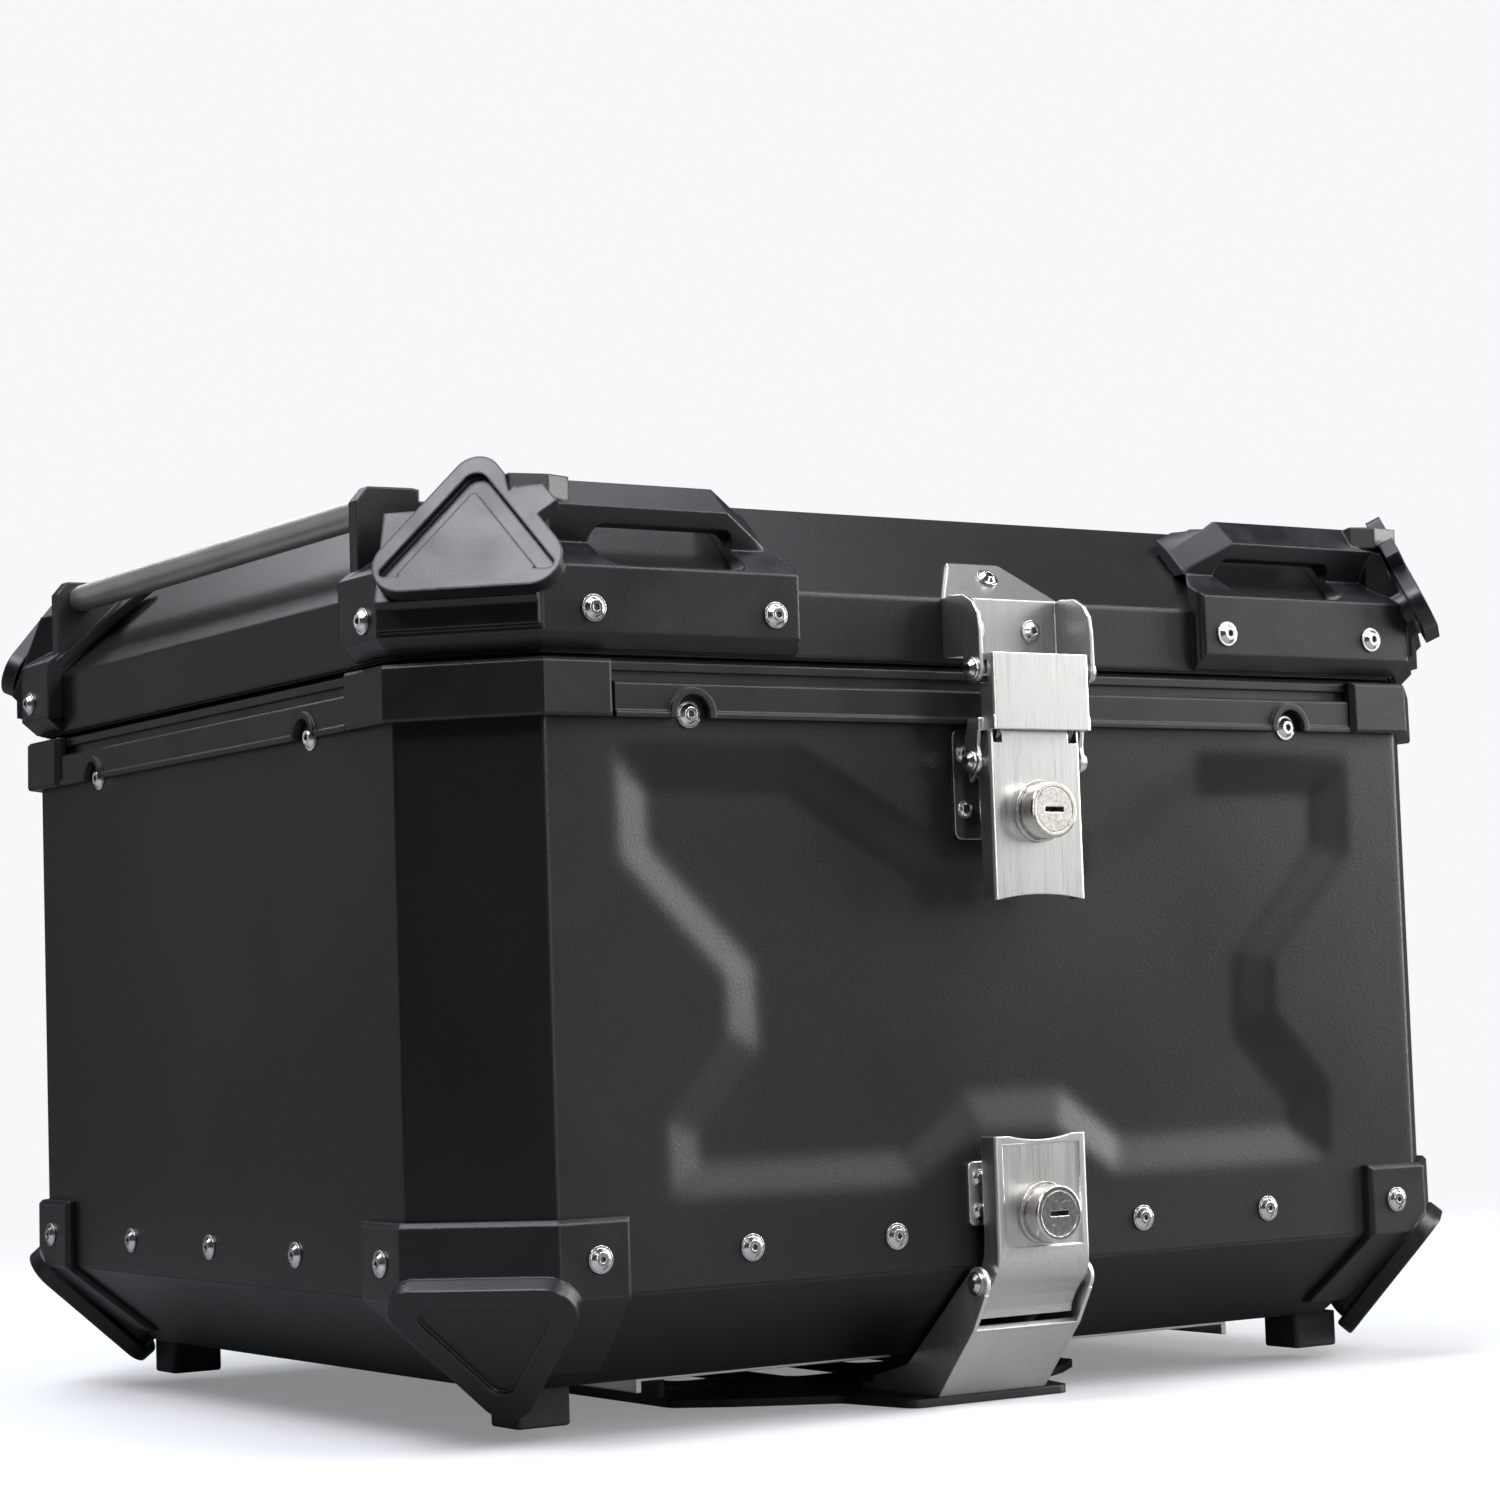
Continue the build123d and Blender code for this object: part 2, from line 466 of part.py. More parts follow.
lid_guard_screws = fasten(screw_solid(15.0), LID_SCREWS)
lid_nuts = [place(Pos(0, 0, -11.6 - 3.2) * nut_solid(), SIDE_DIRS[sd], at_side(sd, s, off, z)) for sd, s, off, z in LID_SCREWS]

rail = cyl_y(RAIL_R, -139.5, 139.5, -RAIL_X, RAIL_Z) - cyl_y(RAIL_R - 1.2, -150, 150, -RAIL_X, RAIL_Z)
side_rail_left = rail
side_rail_right = mx(rail)

# ------------------------------------------------------------- upper draw latch
# bracket on the lid: slope tab, front plate, two ears, catch pin
g = 1.8
so = -14.2                                # slope tab runs to this outward offset
sz = Z_LCREASE - so / SLOPE
tab_plate = rear([(0.12, 275.0), (g, 275.0), (g, Z_LCREASE + 0.6), (so + 1.3, sz + 1.25), (so, sz), (0.12, Z_LCREASE + 0.05)], -26.5, 26.5)
# the tab narrows towards its top edge on both sides
keep_tab = make_face(Polyline((-26.5, 0, 260), (26.5, 0, 260), (26.5, 0, Z_LCREASE + 0.5), (8.0, 0, sz + 3), (-13.2, 0, sz + 3), (-14.6, 0, sz - 0.5), (-25.4, 0, Z_LCREASE + 1.6), (-26.5, 0, Z_LCREASE + 0.3), close=True))
keep_tab = Pos(0, -150, 0) * extrude(keep_tab, amount=80, dir=(0, -1, 0))
tab_plate = tab_plate & keep_tab


def ear(x0, x1, pts, hubs, r):
    """Bracket cheek: outline with rounded bosses round its pins."""
    s = rear(pts, x0, x1)
    for (o, z, rr) in hubs:
        s += cyl_x(rr, x0, x1, -(D / 2 + o), z)
    return s


ear_pts = [(g - 0.4, 297.2), (5, 298.0), (13.5, 297.2), (18.5, 294.4), (21.4, 290.0), (22.3, 284.0), (22.5, AZ), (12.5, AZ), (12.0, 274.6), (g - 0.4, 275.2)]
lid_ears = ear(-26.5, -25.0, ear_pts, [(AO, AZ, 5.0)], 5) + ear(25.0, 26.5, ear_pts, [(AO, AZ, 5.0)], 5)
lid_latch_bracket = (tab_plate + lid_ears) - bores(LID_BR, 2.0, 20, 8) - hole(SN, (tsx, tsy, tsz), 2.0, 14, 6) - cyl_x(3.0, -40, 40, -(D / 2 + AO), AZ)
lid_bracket_screws = fasten(screw_solid(9.0, 4.2), LID_BR) + \
    [place(screw_solid(8.0, 4.2), SN, (tsx + SN[0] * 1.86, tsy + SN[1] * 1.86, tsz + SN[2] * 1.86))]
lid_bracket_nuts = [place(Pos(0, 0, -9.7) * nut_solid(3.4, 2.2, 2.0), SIDE_DIRS[sd], at_side(sd, s, off, z)) for sd, s, off, z in LID_BR] + \
    [place(Pos(0, 0, -6.2) * nut_solid(3.4, 2.2, 2.0), SN, (tsx, tsy, tsz))]


def pin_x(r, x0, x1, y, z, head_r, head_t, both=True):
    s = cyl_x(r, x0, x1, y, z)
    for sgn_, xe in ((-1, x0), (1, x1)):
        if sgn_ == 1 and not both:
            continue
        h = place(Cylinder(head_r, head_t * 0.45, align=(Align.CENTER, Align.CENTER, Align.MIN)) +
                  Pos(0, 0, head_t * 0.45) * Cone(head_r * 0.86, head_r * 0.45, head_t * 0.55, align=(Align.CENTER, Align.CENTER, Align.MIN)),
                  (sgn_, 0, 0), (xe, y, z))
        s += h
    return s


catch_pin = pin_x(3.0, -26.5, 26.5, -(D / 2 + AO), AZ, 4.4, 2.6)

# keeper bracket on the body: plate, inner ears with the fulcrum, lip for the lock cam
k_plate = rear([(0.05, 208.0), (1.5, 208.0), (1.5, 248.5), (0.05, 248.5)], -25, 25)
k_plate = soft(k_plate, 3.0, lambda s: s.edges().filter_by(Axis.Y))
kear = [(0.05, 228.0), (0.05, 248.5), (6.0, 249.6), (12.5, 251.8), (18.6, 249.5), (18.4, 244.6), (9.0, 236.0)]
k_ears = ear(-17.3, -15.8, kear, [(PO, PZ, 4.8)], 5) + ear(15.8, 17.3, kear, [(PO, PZ, 4.8)], 5)
pl_shape = rear([(1.4, 229.2), (10.0, 229.2), (10.0, 230.7), (1.4, 230.7)], -9, 9) + rear([(8.6, 224.0), (10.0, 224.0), (10.0, 230.0), (8.6, 230.0)], -9, 9)
latch_keeper = (k_plate + k_ears + pl_shape) - bores(KEEP_U, 1.6, 20, 8) - cyl_x(2.0, -40, 40, -(D / 2 + PO), PZ)


def small_rivet(grip):
    head = Cylinder(3.2, 0.6, align=(Align.CENTER, Align.CENTER, Align.MIN)) + \
        Pos(0, 0, 0.6) * Cone(2.6, 1.6, 0.9, align=(Align.CENTER, Align.CENTER, Align.MIN))
    tail = Pos(0, 0, -grip - 1.0) * Cylinder(2.6, 1.0, align=(Align.CENTER, Align.CENTER, Align.MIN))
    return head + Pos(0, 0, -grip) * Cylinder(1.6, grip, align=(Align.CENTER, Align.CENTER, Align.MIN)) + tail


lever_pin = cyl_x(2.0, -20.0, 20.0, -(D / 2 + PO), PZ)

# lever: front plate with rolled side flanges, carries the lock
LV_T = 1.6
lev = rear([(17.4, 185.0), (19.0, 185.0), (19.0, 242.6), (17.4, 242.6)], -20.8, 20.8)
fl = [(19.0, 185.0), (19.0, 243.0), (18.4, 250.2), (11.0, 250.4), (8.2, 241.0), (7.9, 233.5), (11.4, 228.5), (11.6, 185.0)]
lev += rear([(17.4, 242.0), (19.0, 242.0), (19.0, 249.4), (17.4, 249.4)], -15.3, 15.3)   # runs up behind the cover, between the keeper ears
lev_sides = rear(fl, -20.8, -19.3) + rear(fl, 19.3, 20.8)
lev = lev + lev_sides
lev = soft(lev, 1.4, lambda s: [e for e in s.edges().filter_by(Axis.Z) if abs(abs(e.center().X) - 20.8) < 0.05 and e.center().Y < -218.5])
# curved lower edge
lev -= Pos(0, -200, 185 - 98.1) * Rot(90, 0, 0) * Cylinder(100, 60)
lev -= cyl_x(2.05, -40, 40, -(D / 2 + PO), PZ) + cyl_x(2.0, -40, 40, -(D / 2 + QO), QZ) + cyl_y(8.5, -230, -205, 0, LU_Z)
latch_lever = lev


def stub(sgn_):
    """Headed stub pin joining a lever flange to a link arm."""
    s = cyl_x(2.0, 19.3, 24.9, -(D / 2 + QO), QZ)
    s += place(Cylinder(3.9, 1.2, align=(Align.CENTER, Align.CENTER, Align.MIN)) + Pos(0, 0, 1.2) * Cone(3.4, 1.8, 1.3, align=(Align.CENTER, Align.CENTER, Align.MIN)),
               (1, 0, 0), (24.9, -(D / 2 + QO), QZ))
    return s if sgn_ > 0 else mx(s)


link_pins = [stub(1), stub(-1)]

# link: hooked cover plate with two arms down to the lever
cov = rear([(22.6, 247.0), (24.2, 247.0), (24.2, 275.2), (22.6, 275.2)], -22.3, 22.3)
cov_fl = [(16.6, 247.0), (24.2, 247.0), (24.2, 275.2), (16.6, 275.2)]
cov += rear(cov_fl, -22.3, -21.1) + rear(cov_fl, 21.1, 22.3)
cov += rear([(12.4, 272.75), (24.0, 272.75), (24.0, 275.2), (12.4, 275.2)], -22.3, 22.3)
cov = soft(cov, 1.2, lambda s: [e for e in s.edges().filter_by(Axis.Z) if abs(abs(e.center().X) - 22.3) < 0.05 and e.center().Y < -223])
cov -= rear([(10, 264.5), (20.9, 264.5), (20.9, 272.75), (10, 272.75)], -40, 40)
arm_pts = [(11.2, 251.5), (16.6, 251.5), (16.8, 246.5), (16.0, 241.0), (17.0, 237.5), (12.4, 231.6), (7.9, 237.5), (9.0, 245.0)]


def arm():
    s = ear(23.1, 24.6, arm_pts, [(QO, QZ, 4.6)], 4)
    s += rear([(11.4, 247.0), (17.6, 247.0), (17.6, 251.5), (11.4, 251.5)], 21.1, 24.6)
    s += rear([(11.4, 247.0), (24.0, 247.0), (24.0, 252.0), (14.0, 252.0)], 21.1, 22.3)
    return s


link = cov + arm() + mx(arm())
link -= cyl_x(2.05, -40, 40, -(D / 2 + QO), QZ)
latch_link = link


# locks: housing, turning plug, cam
def lock_housing(o_face, z, o_plate, o_plate_in, o_nut):
    """Barrel outside the plate, threaded body through it, and its nut behind."""
    y = lambda o: -(D / 2 + o)
    s = cyl_y(10.4, y(o_plate), y(o_face), 0, z)
    s = soft(s, 0.8, lambda q: [e for e in q.edges() if abs(e.center().Y - y(o_face)) < 0.05])
    s += cyl_y(11.4, y(o_plate), y(o_plate + 2.2), 0, z)
    s += cyl_y(8.5, y(o_plate), y(o_nut), 0, z)
    s -= cyl_y(6.2, y(o_nut - 1), y(o_face - 1.0), 0, z)
    s -= cyl_y(8.3, y(o_face - 1.2), y(o_face + 1), 0, z)
    return s


def lock_plug(o_face, z, o_nut, o_cam):
    y = lambda o: -(D / 2 + o)
    s = cyl_y(8.2, y(o_face - 1.1), y(o_face - 0.1), 0, z) + cyl_y(6.1, y(o_nut + 0.4), y(o_face - 1.0), 0, z)
    s += cyl_y(2.6, y(o_cam), y(o_nut + 0.5), 0, z)
    s -= Pos(0, y(o_face - 2.0), z) * Box(8.6, 8.0, 1.9)
    return s


def lock_cam(o0, o1, z, length):
    y = lambda o: -(D / 2 + o)
    s = cyl_y(5.0, y(o0), y(o1), 0, z) + Pos(length / 2, (y(o0) + y(o1)) / 2, z) * Box(length, abs(o1 - o0), 7.0)
    s -= cyl_y(2.6, y(o0) + 1, y(o1) - 1, 0, z)
    return s


def lock_nut(o0, o1, z):
    y = lambda o: -(D / 2 + o)
    s = Pos(0, y(o0), z) * Rot(90, 0, 0) * (extrude(RegularPolygon(11.0, 6), amount=o1 - o0))
    return s - cyl_y(8.5, y(o0) + 1, y(o1) - 1, 0, z)


upper_lock_housing = lock_housing(29.0, LU_Z, 19.0, 17.4, 11.4)
upper_lock_nut = lock_nut(14.0, 17.3, LU_Z)
upper_lock_plug = lock_plug(29.0, LU_Z, 11.4, 5.0)
upper_lock_cam = lock_cam(5.0, 7.0, LU_Z, 11.1)

# ------------------------------------------------------------------ lower latch
def release_profile():
    """Outer line of the release lever as (outward, height), top to bottom."""
    pts = [(13.0, 99.0), (13.0, 57.0)]
    for k in range(1, 9):
        a = math.radians(k * 48 / 8)
        pts.append((13.0 - 17.0 * (1 - math.cos(a)), 57.0 - 17.0 * math.sin(a)))
    o, z = pts[-1]
    pts += [(o - 3.6, z - 4.0), (o - 6.6, z - 8.6), (o - 7.4, z - 11.6)]
    return pts


RP = release_profile()
RP_IN = [(o - 1.8, z) for o, z in RP]
rel = rear(RP + RP_IN[::-1], -21.0, 21.0)
rel_fl = [(13.0, 99.0), (13.0, 57.0)] + RP[2:] + [(RP[-1][0] - 2.2, RP[-1][1]), (-1.6, 40.0), (-1.2, 46.5), (0.8, 50.2), (3.4, 54.5), (4.4, 60.0), (4.4, 99.0)]
rel += rear(rel_fl, -21.0, -19.5) + rear(rel_fl, 19.5, 21.0)
rel += rear([(3.4, 87.0), (12.4, 87.0), (12.4, 88.8), (3.4, 88.8)], -8, 8)       # claw over the keeper shelf
rel -= Pos(0, -200, 99 + 58.2) * Rot(90, 0, 0) * Cylinder(60, 60)                  # hollow top edge
rel -= cyl_x(2.55, -40, 40, -(D / 2 + RO), RZ) + cyl_y(8.5, -230, -205, 0, LL_Z)
# pressed flat seat round the lock
rel -= (boxr(-17.6, 17.6, -214, -212.4, 58.5, 96.0))
rel = soft(rel, 1.3, lambda s: [e for e in s.edges() if abs(abs(e.center().X) - 21.0) < 0.05 and e.center().Y < -212.9])
release_lever = rel
lower_lock_housing = lock_housing(22.6, LL_Z, 12.4, 11.2, 7.6)
lower_lock_nut = lock_nut(8.2, 11.1, LL_Z)
lower_lock_plug = lock_plug(22.6, LL_Z, 7.6, 3.0)
lower_lock_cam = lock_cam(3.0, 4.8, LL_Z, 11.6)

kl_plate = soft(rear([(0.05, 66.8), (1.5, 66.8), (1.5, 90.0), (0.05, 90.0)], -25, 25), 2.5, lambda s: s.edges().filter_by(Axis.Y))
kl = kl_plate + rear([(1.4, 83.4), (7.4, 83.4), (7.4, 84.9), (1.4, 84.9)], -9, 9) + rear([(6.0, 79.8), (7.4, 79.8), (7.4, 84.0), (6.0, 84.0)], -9, 9)
release_keeper = kl - bores(KEEP_L, 1.6, 20, 8)
release_pin = pin_x(2.5, -24.7, 24.7, -(D / 2 + RO), RZ, 4.4, 2.6)

# ------------------------------------------------------------ stainless bracket
br_t = 2.5
br_front = rear([(-23.0, 2.6), (-0.5, 27.7), (0.6, 28.6), (-1.4, 30.2), (-2.6, 29.3), (-25.6, 3.9)], -24.7, 24.7)
br_low = boxr(-24.7, 24.7, -177.2, -128, 3.05, 5.3)
e_pts = [(-23.0, 3.05), (-23.0, 2.9), (0.5, 28.4), (8.6, 41.6), (0.2, 50.4), (-39.2, 16.2), (-42.0, 14.0), (-64.0, 8.4), (-64.0, 3.05)]
br_ears = ear(-24.7, -23.1, e_pts, [(RO, RZ, 6.0)], 6) + ear(23.1, 24.7, e_pts, [(RO, RZ, 6.0)], 6)
BR_BOLTS = [(-13, -140), (13, -140), (-13, -160), (13, -160)]
bracket = br_front + br_low + br_ears
bracket -= boxr(-40, 40, -240, -100, -10, 3.03)
bracket -= cyl_x(2.5, -40, 40, -(D / 2 + RO), RZ)
for x, y in BR_BOLTS:
    bracket -= cyl_z(2.5, -5, 12, x, y)
release_bracket = max(solids(bracket), key=lambda q: q.volume)

# ------------------------------------------------------------------- base plate
bp_pts = [(-36, -178), (36, -178), (44, -142), (78, -120), (96, -104), (96, 100), (80, 128), (-80, 128), (-96, 100), (-96, -104), (-78, -120), (-44, -142)]
bp = prism(bp_pts, 0, 3.0)
bp = soft(bp, 6.0, lambda s: s.edges().filter_by(Axis.Z))
win = [Pos(sx * 44, 0, 1.5) * extrude(RectangleRounded(30, 96, 8), amount=6, both=True) for sx in (-1, 1)]
for w_ in win:
    bp -= w_
bp -= Pos(0, -10, 1.5) * extrude(RectangleRounded(36, 120, 8), amount=6, both=True)
slots = []
for sx in (-1, 1):
    for sy in (-1, 1):
        slots.append(Pos(sx * SLOT_X / 2, sy * SLOT_Y / 2, 0) * extrude(SlotOverall(SLOT_L, SLOT_W), amount=12, both=True))
for s_ in slots:
    bp -= s_
for x, y in BR_BOLTS:
    bp -= cyl_z(2.5, -5, 12, x, y)
PADS = [(sx * 79, sy * 40) for sx in (-1, 1) for sy in (-1, 1)]
for x, y in PADS:
    bp -= cyl_z(2.0, -5, 12, x, y)
# raised side rails of the plate and the two front hooks
rails_b = boxr(-96, -93.5, -96, 92, 2.9, 11.0) + boxr(93.5, 96, -96, 92, 2.9, 11.0)
hooks = []
for sx in (-70, 70):
    h = boxr(sx - 13, sx + 13, 113.5, 116.0, 2.9, 11.3)
    h += boxr(sx - 13, sx + 13, 104.0, 115.0, 9.3, 11.3)
    hooks.append(h)
base_plate = bp + rails_b + hooks[0] + hooks[1]
base_pads = []
pad_screws = []
for x, y in PADS:
    p = Pos(x, y, 3.0) * Cylinder(13.0, 13.3, align=(Align.CENTER, Align.CENTER, Align.MIN))
    p = soft(p, 1.5, lambda s: [e for e in s.edges() if e.center().Z > 16])
    p -= cyl_z(2.0, 0, 20, x, y) + cyl_z(4.6, 10.5, 20, x, y)
    base_pads.append(p)
    pad_screws.append(Pos(x, y, 10.5) * screw_solid(12.5, 4.2))
bracket_bolts = []
for x, y in BR_BOLTS:
    b = Pos(x, y, 5.3) * (extrude(RegularPolygon(4.4, 6), amount=3.4) + Pos(0, 0, -2.65 - 2.4) * Cylinder(2.5, 5.3 + 4.8 - 0.0))
    bracket_bolts.append(b)
bolt_trim = boxr(-200, 200, -200, 200, -20, 0.3)
bracket_bolts = [b - bolt_trim for b in bracket_bolts]
pad_screws = [b - bolt_trim for b in pad_screws]

# dock plate under the case: stainless sheet, joggled ends, its front tongue goes under the hooks
dp_pts = [(-128, -150), (-26.5, -150), (-26.5, -120), (26.5, -120), (26.5, -150), (128, -150), (128, 108), (-128, 108)]
dock = prism(dp_pts, 16.4, 18.4)
dock -= boxr(-97, -43, 98.0, 125, 10, 20) + boxr(43, 97, 98.0, 125, 10, 20)
tong = []
for sx in (-70, 70):
    tt = boxr(sx - 10.5, sx + 10.5, 96.0, 98.0, 6.8, 18.4) + boxr(sx - 10.5, sx + 10.5, 96.0, 111.5, 6.8, 8.6)
    tong.append(tt)
dock = dock + tong[0] + tong[1]
flange_l = boxr(-136, -126, -150, 108, 16.4, 18.4) + boxr(-138, -136, -150, 108, 12.4, 18.4)
dock = dock + flange_l + mx(flange_l)
for x, y in DOCK_SCREWS:
    dock -= cyl_z(2.6, 10, 30, x, y)
dock_plate = max(solids(dock), key=lambda q: q.volume)
dock_screws, dock_nuts = [], []
for x, y in DOCK_SCREWS:
    h = Pos(x, y, 16.4) * mirror(Cylinder(5.0, 2.4, align=(Align.CENTER, Align.CENTER, Align.MIN)), about=Plane.XY)
    h += cyl_z(2.6, 14.5, 28.0, x, y)
    dock_screws.append(h)
    dock_nuts.append(Pos(x, y, 20.55) * nut_solid(5.2, 4.2, 2.6))

# ------------------------------------------------------------------ piano hinge
HL = 90.0
KN = 7
seg = 2 * HL / KN
KR = 3.6
hy = HY


def knuckles(which):
    out = None
    for k in range(KN):
        if k % 2 == which:
            x0 = -HL + k * seg + 0.15
            x1 = -HL + (k + 1) * seg - 0.15
            c = cyl_x(KR, x0, x1, HY, HZ)
            if which == 0:      # lower leaf: web runs down to the body plate
                c += boxr(x0, x1, D / 2 + 0.3, HY, HZ - KR, HZ - KR + 1.4)
                c += boxr(x0, x1, D / 2 + 0.15, D / 2 + 1.45, 262, HZ - KR + 1.4)
            else:
                c += boxr(x0, x1, D / 2 + 0.3, HY, HZ + KR - 1.4, HZ + KR)
                c += boxr(x0, x1, D / 2 + 0.15, D / 2 + 1.45, HZ + KR - 1.4, 277)
            out = c if out is None else out + c
    return out


leaf_low = boxr(-HL, HL, D / 2 + 0.15, D / 2 + 1.4, 245.0, 263.0)
leaf_up = boxr(-HL, HL, D / 2 + 0.15, D / 2 + 1.4, 275.2, 293.0)
hinge_leaf_lower = (leaf_low + knuckles(0)) - cyl_x(1.75, -HL - 5, HL + 5, HY, HZ) - bores(HINGE_LOW, 1.6, 20, 8)
hinge_leaf_upper = (leaf_up + knuckles(1)) - cyl_x(1.8, -HL - 5, HL + 5, HY, HZ) - bores(HINGE_UP, 1.6, 20, 8)
hinge_pin = cyl_x(1.75, -HL - 1.0, HL + 1.0, HY, HZ)
hinge_rivets_lower = fasten(small_rivet(1.4 + T), HINGE_LOW)
hinge_rivets_upper = fasten(small_rivet(1.4 + T), HINGE_UP)
upper_keeper_rivets = fasten(small_rivet(1.5 + T), [k for k in KEEP_U])
lower_keeper_rivets = fasten(small_rivet(1.5 + T), [k for k in KEEP_L])

# ------------------------------------------------------------------- lid straps
stay = []
for sx in (-1, 1):
    x = sx * 222.0
    # the slack hangs as a narrow loop inside the wall
    stay.append(boxr(x - 5.0, x + 5.0, 62, 84, 205.0, 262.0))
stay_straps = stay

PARTS = {
    "body_shell": body_shell, "bottom_pan": bottom_pan, "body_rivets": body_rivets,
    "lower_guard_rear_left": lower_guard_rl, "lower_guard_rear_right": lower_guard_rr,
    "lower_guard_front_left": lower_guard_fl, "lower_guard_front_right": lower_guard_fr,
    "lower_guard_rivets": lower_guard_rivets, "feet": feet, "feet_screws": feet_screws,
    "rim_channel": rim_channel, "lid_seal": seal,
    "rim_strip_rear": strip_rear, "rim_strip_front": strip_front, "rim_strip_left": strip_left, "rim_strip_right": strip_right,
    "rim_corners_rear": [rim_corner_rl, rim_corner_rr], "rim_corners_front": [rim_corner_fl, rim_corner_fr],
    "rim_screws": rim_screws,
    "latch_keeper": latch_keeper, "lever_pin": lever_pin, "release_keeper": release_keeper,
    "small_rivets": upper_keeper_rivets + lower_keeper_rivets + hinge_rivets_lower,
    "hinge_leaf_lower": hinge_leaf_lower, "hinge_pin": hinge_pin, "stay_straps": stay_straps,
    "dock_plate": dock_plate, "dock_screws": dock_screws, "dock_nuts": dock_nuts,
    "lid_shell": lid_shell, "lid_rim": lid_rim,
    "lid_guard_rear_left": lid_guard_rl, "lid_guard_rear_right": lid_guard_rr,
    "lid_guard_front_left": lid_guard_fl, "lid_guard_front_right": lid_guard_fr,
    "lid_guard_screws": lid_guard_screws, "lid_guard_nuts": lid_nuts,
    "side_rail_left": side_rail_left, "side_rail_right": side_rail_right,
    "lid_latch_bracket": lid_latch_bracket, "lid_bracket_screws": lid_bracket_screws + lid_bracket_nuts,
    "catch_pin": catch_pin, "hinge_leaf_upper": hinge_leaf_upper, "hinge_rivets_upper": hinge_rivets_upper,
    "latch_link": latch_link, "link_pins": link_pins, "latch_lever": latch_lever,
    "upper_lock_housing": solids(upper_lock_housing) + solids(upper_lock_nut), "upper_lock_plug": upper_lock_plug, "upper_lock_cam": upper_lock_cam,
    "release_lever": release_lever, "lower_lock_housing": solids(lower_lock_housing) + solids(lower_lock_nut),
    "lower_lock_plug": lower_lock_plug, "lower_lock_cam": lower_lock_cam,
    "release_pin": release_pin, "release_bracket": release_bracket, "base_plate": base_plate,
    "base_pads": base_pads, "pad_screws": pad_screws, "bracket_bolts": bracket_bolts,
}

if __name__ == "__main__":
    for name, shape in PARTS.items():
        save(name, shape)
    print(len(PARTS), "parts written")
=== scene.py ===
import math

import bpy
import numpy as np
from mathutils import Matrix, Vector


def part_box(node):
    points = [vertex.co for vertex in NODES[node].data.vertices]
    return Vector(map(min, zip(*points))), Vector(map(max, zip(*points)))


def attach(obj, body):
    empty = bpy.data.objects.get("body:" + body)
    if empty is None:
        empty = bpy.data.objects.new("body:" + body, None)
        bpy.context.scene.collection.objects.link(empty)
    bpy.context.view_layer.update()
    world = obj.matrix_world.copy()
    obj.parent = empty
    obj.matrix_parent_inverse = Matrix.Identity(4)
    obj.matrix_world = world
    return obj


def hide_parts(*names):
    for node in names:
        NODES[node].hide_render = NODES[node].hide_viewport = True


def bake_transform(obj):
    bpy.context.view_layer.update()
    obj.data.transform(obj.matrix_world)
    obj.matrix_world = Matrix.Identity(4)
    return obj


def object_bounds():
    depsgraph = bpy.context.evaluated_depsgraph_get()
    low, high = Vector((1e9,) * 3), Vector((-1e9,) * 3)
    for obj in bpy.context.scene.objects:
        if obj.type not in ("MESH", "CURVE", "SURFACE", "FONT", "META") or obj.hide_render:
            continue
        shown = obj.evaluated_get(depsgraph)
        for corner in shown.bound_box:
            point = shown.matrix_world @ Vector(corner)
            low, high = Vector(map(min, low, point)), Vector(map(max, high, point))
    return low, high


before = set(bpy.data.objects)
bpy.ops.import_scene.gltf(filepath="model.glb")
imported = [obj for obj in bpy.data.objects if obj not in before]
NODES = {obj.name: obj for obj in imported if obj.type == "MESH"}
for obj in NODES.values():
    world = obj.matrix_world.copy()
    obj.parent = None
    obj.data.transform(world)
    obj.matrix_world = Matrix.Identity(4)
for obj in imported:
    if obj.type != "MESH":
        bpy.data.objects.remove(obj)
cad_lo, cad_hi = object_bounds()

W, D, CH, T = 0.470, 0.400, 0.038, 0.002
Z_CREASE, Z_WALL = 0.0525, 0.262


